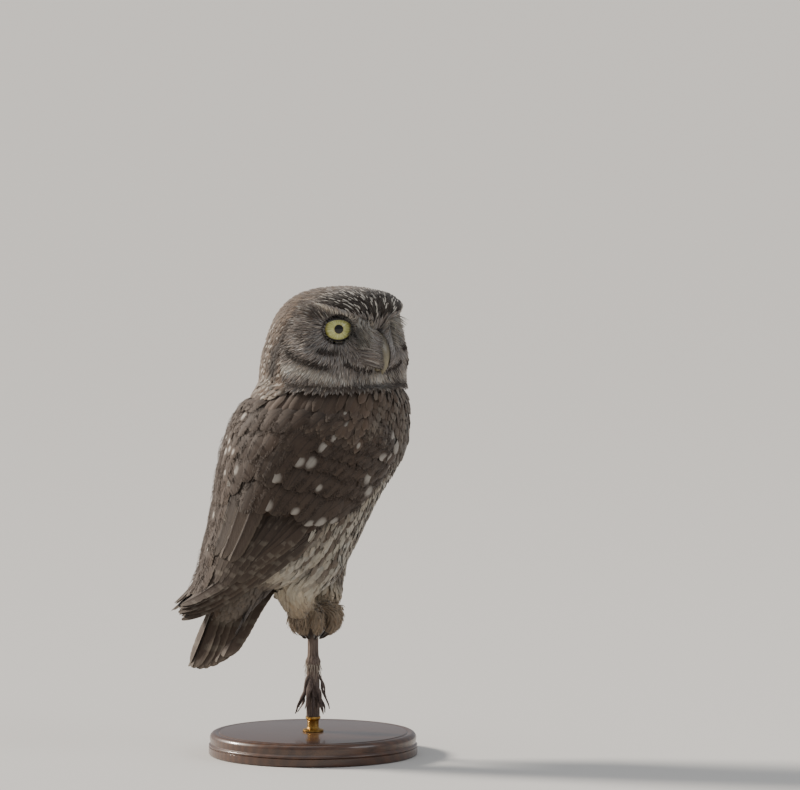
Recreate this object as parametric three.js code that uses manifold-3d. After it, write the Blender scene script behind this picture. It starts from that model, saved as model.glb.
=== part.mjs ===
// Little owl gripping the top of a cut plant stem, on a plain display stand.
// Millimetres, +Z up. The bird's body faces +X and its right side is -Y. The origin is the
// middle of the stand's underside, and the stem stands on the Z axis.
import * as THREE from "three";
import { mergeVertices } from "three/addons/utils/BufferGeometryUtils.js";
import Module from "manifold-3d";

const wasm = await Module();
wasm.setup();

// Driving dimensions
const gap = 0.3; // between touching pieces
const gripZ = 62; // underside of the toes above the floor
const stand = { radius: 55, height: 12, bevel: 2.5, rodRadius: 3, rodHeight: 8, ferruleRadius: 5.5 };
const stem = { radius: 2.7, top: gripZ + 15, footRadius: 3.4 };
const body = { x: -27, z: gripZ + 27.4, lean: 20 }; // the body's axis runs up from this point
const head = { x: 12.2, z: gripZ + 158.4, turn: -70.5, floor: -24, crown: 26.3 };
const eye = { radius: 9.4, forward: 19.2, aside: 15.1, up: 6.2, outward: 34, lidWide: 7.3, lidHigh: 6.5 };
const torsoTop = 84; // where the neck begins, along the body's axis

const rad = THREE.MathUtils.degToRad;
const vec = (x, y, z) => new THREE.Vector3(x, y, z);
const mix = THREE.MathUtils.lerp;
const ease = THREE.MathUtils.smoothstep;
const bump = (x, width) => Math.exp(-((x / width) ** 2));

// Repeatable draws for the small differences between like feathers
function seeded(seed) {
  let state = seed;
  return () => {
    state = (state * 1664525 + 1013904223) % 4294967296;
    return state / 4294967296;
  };
}

// Smooth curves through rows of [key, value, value, ...], asked by key
function through(rows) {
  const slope = rows.map((row, i) => {
    const before = rows[Math.max(i - 1, 0)];
    const after = rows[Math.min(i + 1, rows.length - 1)];
    return row.map((_, k) => (after[k] - before[k]) / (after[0] - before[0]));
  });
  return (key) => {
    let i = 0;
    while (i < rows.length - 2 && key > rows[i + 1][0]) i += 1;
    const span = rows[i + 1][0] - rows[i][0];
    const u = THREE.MathUtils.clamp((key - rows[i][0]) / span, 0, 1);
    return rows[i].slice(1).map((_, n) => {
      const k = n + 1;
      const a = (1 + 2 * u) * (1 - u) ** 2 * rows[i][k];
      const b = u * (1 - u) ** 2 * span * slope[i][k];
      const c = u * u * (3 - 2 * u) * rows[i + 1][k];
      const d = u * u * (u - 1) * span * slope[i + 1][k];
      return a + b + c + d;
    });
  };
}

// Closed geometries

function signedVolume(points, faces) {
  const cross = vec(0, 0, 0);
  const spanned = ([a, b, c]) => points[a].dot(cross.crossVectors(points[b], points[c]));
  return faces.reduce((sum, face) => sum + spanned(face), 0);
}

function geometryOf(points, faces) {
  const outward = signedVolume(points, faces) > 0;
  const index = faces.flatMap(([a, b, c]) => (outward ? [a, b, c] : [a, c, b]));
  const geometry = new THREE.BufferGeometry().setFromPoints(points);
  return geometry.setIndex(index);
}

// A skin over rings of equally many points, closed by a point at each end
function skinOver(rings, startPole, endPole) {
  const n = rings[0].length;
  const points = [...rings.flat(), startPole, endPole];
  const start = points.length - 2;
  const end = points.length - 1;
  const faces = [];
  for (let k = 0; k < n; k += 1) {
    const next = (k + 1) % n;
    faces.push([start, next, k]);
    for (let i = 0; i < rings.length - 1; i += 1) {
      const low = i * n;
      const high = low + n;
      faces.push([low + k, low + next, high + next], [low + k, high + next, high + k]);
    }
    const last = (rings.length - 1) * n;
    faces.push([last + k, last + next, end]);
  }
  return geometryOf(points, faces);
}

const middleOf = (ring) => ring.reduce((sum, p) => sum.add(p), vec(0, 0, 0)).divideScalar(ring.length);
const flatEnded = (rings) => skinOver(rings, middleOf(rings[0]), middleOf(rings.at(-1)));

// A round limb along a path, with a radius for each point of the path. Its ends are round or flat.
function limb({ path, radii, sides = 12, steps = 6, grow = 0, flatStart = false, flatEnd = false }) {
  const curve = new THREE.CatmullRomCurve3(path);
  const radiusAt = through(radii.map((r, i) => [i / (radii.length - 1), r]));
  const reference = vec(0.13, 1, 0.07).normalize();
  const ringAt = (u, share, shift) => {
    const along = curve.getTangent(u);
    const radius = radiusAt(u)[0] + grow;
    const side = vec(0, 0, 0).crossVectors(along, reference).normalize();
    const up = vec(0, 0, 0).crossVectors(side, along);
    const centre = curve.getPoint(u).addScaledVector(along, shift * radius);
    return Array.from({ length: sides }, (_, k) => {
      const angle = (2 * Math.PI * k) / sides;
      const point = centre.clone().addScaledVector(side, Math.cos(angle) * radius * share);
      return point.addScaledVector(up, Math.sin(angle) * radius * share);
    });
  };
  const rings = Array.from({ length: steps + 1 }, (_, i) => ringAt(i / steps, 1, 0));
  if (!flatStart) rings.unshift(ringAt(0, 0.72, -0.55));
  if (!flatEnd) rings.push(ringAt(1, 0.72, 0.55));
  const tip = (u, shift) => {
    const reach = shift * (radiusAt(u)[0] + grow);
    return curve.getPoint(u).addScaledVector(curve.getTangent(u), reach);
  };
  return skinOver(rings, tip(0, flatStart ? 0 : -0.9), tip(1, flatEnd ? 0 : 0.9));
}

// A feather vane: a thin closed plate over frames of centre, side, out and half width, with
// both faces split into triangles alike
function vanePlate(frames, thick = 0.55) {
  const points = frames.flatMap(({ centre, side, out, half, thin = 1 }) => {
    const place = (across, height) =>
      centre
        .clone()
        .addScaledVector(side, across * half)
        .addScaledVector(out, height * thick * thin);
    return [place(-1, 0.5), place(1, 0.5), place(1, -0.5), place(-1, -0.5)];
  });
  const faces = [];
  const quad = (a, b, c, d) => faces.push([a, b, c], [a, c, d]);
  for (let i = 0; i < frames.length - 1; i += 1) {
    const a = i * 4;
    const b = a + 4;
    quad(a, a + 1, b + 1, b);
    quad(a + 1, a + 2, b + 2, b + 1);
    faces.push([a + 3, b + 2, a + 2], [a + 3, b + 3, b + 2]);
    quad(a + 3, a, b, b + 3);
  }
  const end = (frames.length - 1) * 4;
  quad(0, 3, 2, 1);
  quad(end, end + 1, end + 2, end + 3);
  return geometryOf(points, faces);
}

// Joining and cutting

function solidOf(geometry) {
  const bare = geometry.clone();
  bare.deleteAttribute("normal");
  bare.deleteAttribute("uv");
  const merged = mergeVertices(bare, 1e-4);
  return new wasm.Manifold(
    new wasm.Mesh({
      numProp: 3,
      vertProperties: new Float32Array(merged.attributes.position.array),
      triVerts: new Uint32Array(merged.index.array),
    }),
  );
}

const joined = (geometries) => geometries.map(solidOf).reduce((all, solid) => all.add(solid));
const without = (solid, ...cutters) => cutters.reduce((left, cutter) => left.subtract(cutter), solid);

// The half of space above (side 1) or below (side -1) a plane, as a large box
function halfSpace(origin, normal, side = 1) {
  const size = 500;
  const geometry = new THREE.BoxGeometry(size, size, size).translate(0, 0, (side * size) / 2);
  const turn = new THREE.Quaternion().setFromUnitVectors(vec(0, 0, 1), normal.clone().normalize());
  return solidOf(geometry.applyQuaternion(turn).translate(origin.x, origin.y, origin.z));
}

function largestBody(solid) {
  const tidy = solid.simplify(0.02);
  return tidy.decompose().reduce((best, part) => (part.volume() > best.volume() ? part : best));
}

// The body's own frame: t along its axis, e forward, y to the left

const lean = rad(body.lean);
const axisUp = vec(Math.sin(lean), 0, Math.cos(lean));
const forward = vec(Math.cos(lean), 0, -Math.sin(lean));
const bodyPoint = (t, e, y) => vec(body.x, y, body.z).addScaledVector(axisUp, t).addScaledVector(forward, e);

// Torso and neck: distance along the axis, then back, front and half width of the section
const coatAt = through([
  [-7, -18, -6, 5],
  [-2, -26, 7, 14],
  [6, -31.5, 24, 22.5],
  [14, -34, 34.5, 27.5],
  [26, -36, 37.3, 31],
  [40, -38, 39.6, 33.5],
  [56, -40.5, 41.3, 35.5],
  [70, -42.5, 44, 37],
  [84, -41.5, 47.3, 37.5],
  [96, -38.8, 47.7, 37.5],
  [108, -37.5, 45.2, 37.5],
  [119, -35, 40.3, 37],
  [134, -31, 30, 36],
]);

function trunk(grow = 0) {
  const sides = 26;
  const levels = [-7, -4, 0, 4, 9, 14, 22, 31, 40, 50, 60, 70, 79, 88, 97, 106, 115, 124, 134];
  const rings = levels.map((t, i) => {
    const [back, front, half] = coatAt(t);
    const height = t + (i === 0 ? -grow : 0);
    return Array.from({ length: sides }, (_, k) => {
      const angle = (2 * Math.PI * k) / sides;
      const e = (front + back) / 2 + ((front - back) / 2 + grow) * Math.cos(angle);
      return bodyPoint(height, e, (half + grow) * Math.sin(angle));
    });
  });
  return skinOver(rings, bodyPoint(-8.5 - grow, -12, 0), middleOf(rings.at(-1)));
}

// The folded wing lies on this sheet: distance along the axis, then back, widest place, front
// and half width. Psi turns from the middle of the back (0) round the flank to the breast (180).
const sheetAt = through([
  [-34, -46.5, -36, -26, 9],
  [-19, -39.5, -22, -5, 18],
  [-5, -37, -12, 12, 25.5],
  [8, -38.2, -6, 30, 31],
  [21, -38.8, -3, 36.8, 35.5],
  [34, -40.8, -1, 38.8, 38.5],
  [48, -43.2, 0, 40.9, 41],
  [62, -44.9, 0.5, 42.5, 42.8],
  [78, -44.5, 1.5, 46.5, 43.3],
  [93, -41, 4, 48.2, 42.3],
  [106, -39.5, 5, 46.8, 40],
]);

function sheetBase(t, psi, side) {
  const [back, wide, front, half] = sheetAt(t);
  const c = Math.cos(rad(psi));
  const e = wide - (c > 0 ? wide - back : front - wide) * c;
  return bodyPoint(t, e, side * half * Math.sin(rad(psi)));
}

function sheetOut(t, psi, side) {
  const along = sheetBase(t + 0.5, psi, side).sub(sheetBase(t - 0.5, psi, side));
  const round = sheetBase(t, psi + 0.5, side).sub(sheetBase(t, psi - 0.5, side));
  const out = vec(0, 0, 0).crossVectors(round, along).normalize();
  return side > 0 ? out.negate() : out;
}

const sheetPoint = (t, psi, side, height) =>
  sheetBase(t, psi, side).addScaledVector(sheetOut(t, psi, side), height);

// Places on the sheet are also given by their distance round it from the middle of the back
function psiAt(t, round) {
  const step = 2;
  let psi = 0;
  let left = round;
  let last = sheetBase(t, 0, 1);
  while (psi < 180) {
    const next = sheetBase(t, psi + step, 1);
    const reach = next.distanceTo(last);
    if (left < reach) return psi + (step * left) / reach;
    left -= reach;
    last = next;
    psi += step;
  }
  return psi;
}

// Wing outline: psi of its upper edge, near the back, and of its lower edge
const wingUpper = through([[-14, 1], [56, 1], [66, 9], [76, 26], [86, 48], [96, 74], [104, 94]]);
const wingLower = through([
  [-14, 60],
  [-2, 76],
  [20, 92],
  [44, 117],
  [62, 132],
  [76, 139],
  [88, 139],
  [98, 128],
  [104, 112],
]);
const wingPsi = (t, q) => mix(wingUpper(t)[0], wingLower(t)[0], q);

// A feather on the sheet: its root, its way from straight down towards the lower edge, its
// length and half width, its lift at the root, the middle and the tip, and its roll
function sheetVane(side, { t, round, way, bend, length, half, lifts, roll, taper }) {
  const stops = [
    [0, 0.55],
    [0.42, 1],
    [0.84, taper],
    [1, 0.32],
  ];
  const at = (u) => {
    const heading = rad(way + (bend * u) / 2);
    const down = t - Math.cos(heading) * length * u;
    return [down, psiAt(down, round + Math.sin(heading) * length * u)];
  };
  const liftAt = through([[0, lifts[0]], [0.42, lifts[1]], [1, lifts[2]]]);
  const frames = stops.map(([u, share]) => {
    const [tu, pu] = at(u);
    const [ta, pa] = at(Math.max(u - 0.03, 0));
    const [tb, pb] = at(u + 0.03);
    const centre = sheetPoint(tu, pu, side, liftAt(u)[0]);
    const along = sheetBase(tb, pb, side).sub(sheetBase(ta, pa, side)).normalize();
    const out = sheetOut(tu, pu, side);
    const across = vec(0, 0, 0).crossVectors(out, along).multiplyScalar(-side).normalize();
    const turn = rad(roll);
    return {
      centre,
      half: half * share,
      thin: u === 1 ? 0.6 : 1,
      side: across.clone().multiplyScalar(Math.cos(turn)).addScaledVector(out, Math.sin(turn)),
      out: out.clone().multiplyScalar(Math.cos(turn)).addScaledVector(across, -Math.sin(turn)),
    };
  });
  return vanePlate(frames);
}

// The wing's flesh and small coverts: a plate that follows the sheet
function wingCore(side) {
  const levels = [-14, -6, 6, 20, 34, 48, 60, 69, 76, 83, 90, 97, 104];
  const across = 9;
  const grid = (heightAt) =>
    levels.map((t) =>
      Array.from({ length: across + 1 }, (_, j) => {
        const q = j / across;
        return sheetPoint(t, wingPsi(t, q), side, heightAt(t, q));
      }),
    );
  const cover = (t) => mix(-2.7, -0.4, ease(t, 60, 86)); // deeper where long vanes lie on it
  const rim = (t, q) => {
    const edges = 2 * bump(q - 1, 0.16) + 1.6 * bump(q, 0.1) * ease(t, 55, 70);
    return edges + 2.4 * ease(t, 92, 104);
  };
  const outer = grid((t, q) => cover(t) - rim(t, q));
  const inner = grid((t, q) => mix(-5, -8.4, ease(t, -10, 22)) - 0.3 * q);
  const points = [...outer.flat(), ...inner.flat()];
  const wide = across + 1;
  const under = outer.flat().length;
  const faces = [];
  const last = levels.length - 1;
  for (let i = 0; i < last; i += 1) {
    for (let j = 0; j < across; j += 1) {
      const a = i * wide + j;
      faces.push([a, a + 1, a + wide + 1], [a, a + wide + 1, a + wide]);
      faces.push([under + a, under + a + wide + 1, under + a + 1]);
      faces.push([under + a, under + a + wide, under + a + wide + 1]);
    }
    for (const [j, turned] of [[0, true], [across, false]]) {
      const a = i * wide + j;
      const strip = [
        [a, under + a, under + a + wide],
        [a, under + a + wide, a + wide],
      ];
      faces.push(...strip.map(([p, q, r]) => (turned ? [p, r, q] : [p, q, r])));
    }
  }
  for (let j = 0; j < across; j += 1) {
    const high = last * wide + j;
    faces.push([j + 1, j, under + j], [j + 1, under + j, under + j + 1]);
    faces.push([high, high + 1, under + high + 1], [high, under + high + 1, under + high]);
  }
  return geometryOf(points, faces);
}

// Feather tracts of the wing. Each goes from its outermost feather, by the wing's lower edge,
// to its innermost, by the back. Round is the root's distance from the middle of the back.
const wingTracts = [
  // Primaries, stacked along the lower edge and out to the wing's tip
  {
    count: 6,
    from: { t: 37, round: 70, way: -45, bend: -2, length: 88, half: 4.4, lifts: [-5.2, -3.9, -4.4] },
    to: { t: 18, round: 35, way: -43, bend: 12, length: 52, half: 4.8, lifts: [-4.8, -1.5, -0.7] },
    roll: 12,
    taper: 0.66,
  },
  // Secondaries
  {
    count: 6,
    from: { t: 44, round: 64, way: -41, bend: 2, length: 54, half: 6, lifts: [-4.6, -1.5, -1.1] },
    to: { t: 36, round: 12, way: -9, bend: 4, length: 46, half: 6.2, lifts: [-4.6, -1.1, -0.7] },
    roll: 11,
    taper: 0.8,
  },
  // Tertials, on top by the back
  {
    count: 3,
    from: { t: 47, round: 33, way: -17, bend: 2, length: 42, half: 6.6, lifts: [-4.4, -0.2, 0.3] },
    to: { t: 48, round: 8, way: -3, bend: 1, length: 42, half: 6.4, lifts: [-4.4, 0.1, 0.5] },
    roll: 8,
    taper: 0.8,
  },
  // Greater coverts
  {
    count: 6,
    from: { t: 62, round: 84, way: -40, bend: 2, length: 27, half: 6.4, lifts: [-4.4, -0.4, 0] },
    to: { t: 57, round: 28, way: -14, bend: 2, length: 25, half: 6.6, lifts: [-4.4, -0.3, 0.2] },
    roll: 8,
    taper: 0.84,
  },
  // Scapulars, from the shoulder
  {
    count: 4,
    from: { t: 84, round: 48, way: -20, bend: 2, length: 27, half: 6.4, lifts: [-3.8, 0, 0.3] },
    to: { t: 68, round: 10, way: -4, bend: 1, length: 30, half: 6.6, lifts: [-4.6, 0, 0.3] },
    roll: 6,
    taper: 0.84,
  },
];

function wing(side, trunkCutter) {
  const draw = seeded(side > 0 ? 11 : 29);
  const plates = [wingCore(side)];
  for (const { count, from, to, roll, taper } of wingTracts) {
    for (let i = 0; i < count; i += 1) {
      const u = i / (count - 1);
      const between = (key) => mix(from[key], to[key], u);
      const vary = (value, share) => value * (1 + share * (draw() - 0.5));
      plates.push(
        sheetVane(side, {
          t: between("t"),
          round: between("round"),
          way: between("way"),
          bend: between("bend"),
          length: vary(between("length"), 0.04),
          half: between("half"),
          lifts: from.lifts.map((lift, k) => mix(lift, to.lifts[k], u)),
          roll,
          taper,
        }),
      );
    }
  }
  const midline = halfSpace(vec(0, side * gap, 0), vec(0, side, 0));
  return largestBody(without(joined(plates), trunkCutter).intersect(midline));
}

// Tail: the roots in a core of coverts, and twelve feathers folded like a low roof
const tail = {
  pairs: 6,
  root: 4,
  length: 56,
  half: 6.2,
  ridge: -23.4,
  drop: 1.75,
  spread: 2.2,
  rounding: 0.42,
};

function tailCore() {
  const sectionAt = through([
    [-27, -24, -13, 7],
    [-18, -26.5, -6.5, 12],
    [-8, -29, -1, 15],
    [3, -28, 0, 14],
  ]);
  const rings = [-27, -21, -14, -7, 3].map((t) => {
    const [back, front, half] = sectionAt(t);
    return Array.from({ length: 14 }, (_, k) => {
      const angle = (2 * Math.PI * k) / 14;
      const drop = 2.5 * Math.sin(angle) ** 2;
      const e = (front + back) / 2 + ((front - back) / 2) * Math.cos(angle) + drop;
      return bodyPoint(t, e, half * Math.sin(angle));
    });
  });
  return skinOver(rings, bodyPoint(-31, tail.ridge + 2, 0), middleOf(rings.at(-1)));
}

function tailFeather(side, pair) {
  const outward = vec(0, side, 0);
  const roll = rad(10 + 2 * pair);
  const aside = 2.6 + tail.spread * pair;
  const depth = tail.ridge + tail.drop * pair;
  const length = tail.length - tail.rounding * pair * pair;
  const stops = [
    [0, 0.5],
    [0.45, 0.92],
    [0.88, 1],
    [1, 0.5],
  ];
  const frames = stops.map(([u, share]) => {
    const t = tail.root - length * u;
    const y = side * (aside * mix(0.6, 1.06, u));
    const e = depth * mix(0.86, 1, ease(u, 0, 0.4)) - 2 * u * u;
    return {
      centre: bodyPoint(t, e, y),
      half: tail.half * share,
      thin: u === 1 ? 0.6 : 1,
      side: outward.clone().multiplyScalar(Math.cos(roll)).addScaledVector(forward, Math.sin(roll)),
      out: forward.clone().multiplyScalar(-Math.cos(roll)).addScaledVector(outward, Math.sin(roll)),
    };
  });
  return vanePlate(frames);
}

function tailSolid(cutters) {
  const plates = [tailCore()];
  for (let pair = 0; pair < tail.pairs; pair += 1) {
    for (const side of [-1, 1]) plates.push(tailFeather(side, pair));
  }
  return largestBody(without(joined(plates), ...cutters));
}

// Head, in its own frame: x towards the bill, y to its left, z up

const headTurn = rad(head.turn);
const headFrame = new THREE.Matrix4().makeRotationZ(headTurn).setPosition(head.x, 0, head.z);

// Height, then reach at the face, at the nape and at the side
const headAt = through([
  [-24, 34, 41, 37.5],
  [-18, 34.4, 40, 37.7],
  [-10, 34.5, 37.6, 37.5],
  [0, 33.8, 33, 36],
  [9, 34, 28.2, 33.6],
  [16, 35, 21.8, 30.5],
  [21, 32, 15, 25.8],
  [24.2, 26.5, 8, 19.5],
  [25.8, 16, 3.5, 11],
  [26.3, 7, 1.5, 4.5],
]);

function headReach(azimuth, z) {
  const [face, nape, flank] = headAt(z);
  const c = Math.cos(azimuth);
  const s = Math.sin(azimuth);
  const length = c > 0 ? face : nape;
  const square = c > 0 ? mix(2.25, 2.6, ease(z, -8, 6)) : 2.1; // a broad face, narrower at the chin
  const plain = (Math.abs(c / length) ** square + Math.abs(s / flank) ** square) ** (-1 / square);
  const aside = Math.abs(azimuth) * 36; // along the surface from the bill's line
  const fromEye = Math.hypot(aside - 24, (z - eye.up) * 1.1);
  const dish = -4.6 * bump(fromEye, 10);
  const ruff = 1.3 * bump(fromEye - 21, 4) * (z < 8 ? 1 : 0.4) * ease(aside, 20, 34);
  const browLine = 5 + 0.34 * aside;
  const brow = 2.6 * bump(z - browLine - 4, 4.2) * bump(aside - 20, 15);
  const bridge = 1.6 * bump(aside, 7) * bump(z - 4, 9);
  const lores = 2 * bump(aside - 8, 7) * bump(z + 9, 7);
  return plain + dish + ruff + brow + bridge + lores;
}

function headShape(grow = 0) {
  const levels = [-24, -20, -16, -12.5, -9, -6, -3, 0, 3, 6, 9, 12, 15, 18, 20.8, 23, 24.8, 25.8];
  const sides = 40;
  const rings = levels.map((z, i) => {
    const height = i === 0 ? z - grow : z;
    return Array.from({ length: sides }, (_, k) => {
      const turn = (2 * Math.PI * k) / sides;
      const azimuth = Math.atan2(Math.sin(turn), Math.cos(turn));
      const even = azimuth - 0.42 * Math.sin(azimuth); // closer spaced over the face
      const reach = headReach(even, z) + grow;
      return vec(Math.cos(even) * reach, Math.sin(even) * reach, height);
    });
  });
  const crown = vec(0.5, 0, head.crown + grow);
  return skinOver(rings, vec(0, 0, head.floor - grow), crown).applyMatrix4(headFrame);
}

const eyeCentre = (side) => vec(eye.forward, side * eye.aside, eye.up);
const eyeWay = (side) => {
  const outward = rad(eye.outward);
  return vec(Math.cos(outward), side * Math.sin(outward), 0.02).normalize();
};
const eyeFrame = (side) =>
  new THREE.Matrix4()
    .makeRotationFromQuaternion(new THREE.Quaternion().setFromUnitVectors(vec(0, 1, 0), eyeWay(side)))
    .setPosition(eyeCentre(side))
    .premultiply(headFrame);

const eyeBall = (side, grow = 0) =>
  new THREE.SphereGeometry(eye.radius + grow, 16, 10).applyMatrix4(eyeFrame(side));

// The lids: one ring of soft skin round each eye, and the opening that they leave
const lidHeight = 6.3; // from the eye's middle to the lids' rims, along the way it looks

function lidRing(side) {
  const profile = Array.from({ length: 6 }, (_, k) => {
    const angle = (2 * Math.PI * k) / 5;
    const reach = eye.lidWide + 0.9 + 1.3 * Math.cos(angle);
    return new THREE.Vector2(reach, lidHeight - 0.4 + 1.5 * Math.sin(angle));
  });
  profile[5] = profile[0].clone();
  const ring = new THREE.LatheGeometry(profile, 16).scale(1, 1, eye.lidHigh / eye.lidWide);
  return ring.translate(0, 0, -0.4).applyMatrix4(eyeFrame(side));
}

function lidOpening(side) {
  const { lidWide } = eye;
  const far = 14;
  const profile = [[0, 3], [lidWide - 0.3, 4.6], [lidWide, lidHeight - 0.2], [lidWide + 1.2, far], [0, far]];
  const points = profile.map(([x, y]) => new THREE.Vector2(x, y));
  const cone = new THREE.LatheGeometry(points, 16).scale(1, 1, eye.lidHigh / eye.lidWide);
  return cone.translate(0, 0, -0.4).applyMatrix4(eyeFrame(side));
}

// Bill: sections down the hooked ridge, each with its place, half width and depth
const billSections = [
  { x: 28, z: 3, half: 3.2, deep: 4.2 },
  { x: 35, z: 1.6, half: 4.6, deep: 5.2 },
  { x: 39, z: -3, half: 4.8, deep: 5.6 },
  { x: 40.4, z: -8, half: 4, deep: 5 },
  { x: 39.8, z: -12.6, half: 2.7, deep: 3.5 },
  { x: 38.2, z: -15.6, half: 1.3, deep: 1.8 },
];

function upperBill(grow = 0) {
  const ways = billSections.map((section, i) => {
    const before = billSections[Math.max(i - 1, 0)];
    const after = billSections[Math.min(i + 1, billSections.length - 1)];
    return vec(after.x - before.x, 0, after.z - before.z).normalize();
  });
  const rings = billSections.map(({ x, z, half, deep }, i) => {
    const outward = vec(-ways[i].z, 0, ways[i].x);
    return Array.from({ length: 10 }, (_, k) => {
      const angle = (2 * Math.PI * k) / 10;
      const away = Math.cos(angle) > 0 ? Math.cos(angle) * 0.55 * deep : Math.cos(angle) * 0.8 * deep;
      const point = vec(x, (half + grow) * Math.sin(angle), z);
      return point.addScaledVector(outward, away + grow * Math.cos(angle));
    });
  });
  const tip = vec(36.9, 0, -17.6 - grow);
  return skinOver(rings, vec(25, 0, 3), tip).applyMatrix4(headFrame);
}

const nostril = (side) =>
  new THREE.SphereGeometry(0.8, 6, 4)
    .scale(1, 1, 1.3)
    .translate(40.2, side * 2.9, -2)
    .applyMatrix4(headFrame);

function lowerBill(grow = 0) {
  return limb({
    path: [vec(27, 0, -13), vec(32, 0, -14.4), vec(36, 0, -15)],
    radii: [3, 2.5, 1.3],
    sides: 10,
    steps: 4,
    grow,
  }).applyMatrix4(headFrame);
}

// The mouth runs back from the bill on each side as a thin slot: degrees from the bill and height
const mouthLine = [
  [5, -16],
  [14, -15.2],
  [23, -13.8],
  [31, -11.4],
];

function gape(side) {
  const path = mouthLine.map(([degrees, z]) => {
    const reach = headReach(rad(degrees), z) - 0.1;
    return vec(Math.cos(rad(degrees)) * reach, side * Math.sin(rad(degrees)) * reach, z);
  });
  return limb({ path, radii: [0.8, 0.9, 0.8, 0.5], sides: 6, steps: 6 }).applyMatrix4(headFrame);
}

// Legs: the thigh's soft feathering, the tarsus and a foot of four toes round the stem
const legs = {
  right: {
    side: -1,
    thigh: [vec(0, -15.5, 46), vec(-7, -13, 36), vec(-12.5, -11.2, 28)],
    tarsus: [vec(-14, -11.3, 26.5), vec(-10, -8.8, 20.5), vec(-5.2, -5.2, 14.5)],
    ankle: vec(-7.5, -6.8, 17.4),
    toes: [-142, -97, 173, -52],
    middle: -120,
  },
  left: {
    side: 1,
    thigh: [vec(13, 15.5, 46), vec(11.5, 13, 36), vec(11, 11.2, 29)],
    tarsus: [vec(11.2, 11, 27), vec(8.5, 8, 20.5), vec(5, 4.6, 15)],
    ankle: vec(6.3, 6, 17.6),
    toes: [38, 83, -7, 128],
    middle: 60,
  },
};
const lifted = (points) => points.map((p) => vec(p.x, p.y, p.z + gripZ));

const thigh = (leg, grow = 0) =>
  limb({ path: lifted(leg.thigh), radii: [12.5, 11.8, 9.2], sides: 14, steps: 4, grow });
const tarsus = (leg, grow = 0) =>
  limb({ path: lifted(leg.tarsus), radii: [7.6, 6.6, 5.6], sides: 10, steps: 3, grow });

// A toe arches out from the stem's top and back in to the stem: reach from the stem and height
const toeArch = [
  [4.2, 15.2],
  [9.4, 15.4],
  [12, 10.8],
  [10.6, 5.6],
  [8.2, 3.4],
];
const around = (angle, reach, z) =>
  vec(Math.cos(rad(angle)) * reach, Math.sin(rad(angle)) * reach, z + gripZ);
const toeReach = (angle) => 1 + 0.13 * Math.cos(rad(angle)); // the front toes reach further

function toe(angle) {
  return limb({
    path: toeArch.map(([reach, z]) => around(angle, reach * toeReach(angle), z)),
    radii: [3.1, 3.3, 3.2, 2.7, 2],
    sides: 8,
    steps: 6,
    flatEnd: true,
  });
}

function foot(leg) {
  const pad = limb({
    path: [around(leg.middle, 4.6, 15.4), around(leg.middle, 6.2, 12)],
    radii: [4.6, 3.4],
    sides: 8,
    steps: 1,
  });
  return [pad, ...leg.toes.map(toe)];
}

// A claw goes on from its toe's flat end and curves in to the stem
function claw(angle) {
  const scale = toeReach(angle);
  const [[beforeReach, beforeZ], [endReach, endZ]] = toeArch.slice(-2);
  const end = around(angle, endReach * scale, endZ);
  const way = end.clone().sub(around(angle, beforeReach * scale, beforeZ)).normalize();
  return limb({
    path: [
      end.addScaledVector(way, gap),
      around(angle, 6.2 * scale, 1.3),
      around(angle, 4.9, 0.1),
      around(angle, 3.7, -0.7),
    ],
    radii: [1.6, 1.3, 0.85, 0.35],
    sides: 6,
    steps: 4,
    flatStart: true,
  });
}

// The perch: a ribbed stem with a knot, and dry bracts that hang round its lower end
const perch = { foot: stand.height + stand.rodHeight, knot: gripZ - 13, bracts: 7, fibres: 8 };

function stemSolid() {
  const sides = 14;
  const radiusAt = through([
    [perch.foot, stem.footRadius],
    [perch.knot - 12, 3.3],
    [perch.knot - 3, 3.1],
    [perch.knot, 3.9],
    [perch.knot + 3, 2.9],
    [gripZ, stem.radius],
    [stem.top, stem.radius - 0.2],
  ]);
  const { foot: low, knot } = perch;
  const levels = [low, 30, 38, knot - 3, knot, knot + 3, gripZ - 3, gripZ + 6, stem.top];
  const rings = levels.map((z) =>
    Array.from({ length: sides }, (_, k) => {
      const angle = (2 * Math.PI * k) / sides;
      const reach = radiusAt(z)[0] * (k % 2 ? 0.9 : 1);
      return vec(Math.cos(angle) * reach, Math.sin(angle) * reach, z);
    }),
  );
  return flatEnded(rings);
}

const polar = (degrees) => vec(Math.cos(rad(degrees)), Math.sin(rad(degrees)), 0);

// A dry bract: a curled strip that leaves the stem at the knot and ends free, above the rod
function bract(index, draw) {
  const angle = (360 / perch.bracts) * index + 20 * (draw() - 0.5);
  const start = perch.knot - 4 - 4.5 * (index % 3);
  const drop = 15 + 5 * draw();
  const flare = 4.2 + 2.4 * draw();
  const end = Math.max(start - drop, perch.foot + 1.5);
  const stops = [
    [0, 1.8, 0.8],
    [0.3, 4.2, 1],
    [0.7, 3.4 + flare, 0.9],
    [1, 4.4 + flare, 0.3],
  ];
  const frames = stops.map(([u, reach, share], i) => {
    const radial = polar(angle + 14 * u);
    const before = stops[Math.max(i - 1, 0)];
    const after = stops[Math.min(i + 1, stops.length - 1)];
    const slope = (after[1] - before[1]) / ((after[0] - before[0]) * (start - end));
    const out = vec(radial.x, radial.y, slope).normalize();
    return {
      centre: vec(radial.x * reach, radial.y * reach, mix(start, end, u)),
      half: 2 * share,
      side: vec(-radial.y, radial.x, 0),
      out,
      thin: u === 1 ? 0.7 : 1,
    };
  });
  return vanePlate(frames, 0.6);
}

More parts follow.
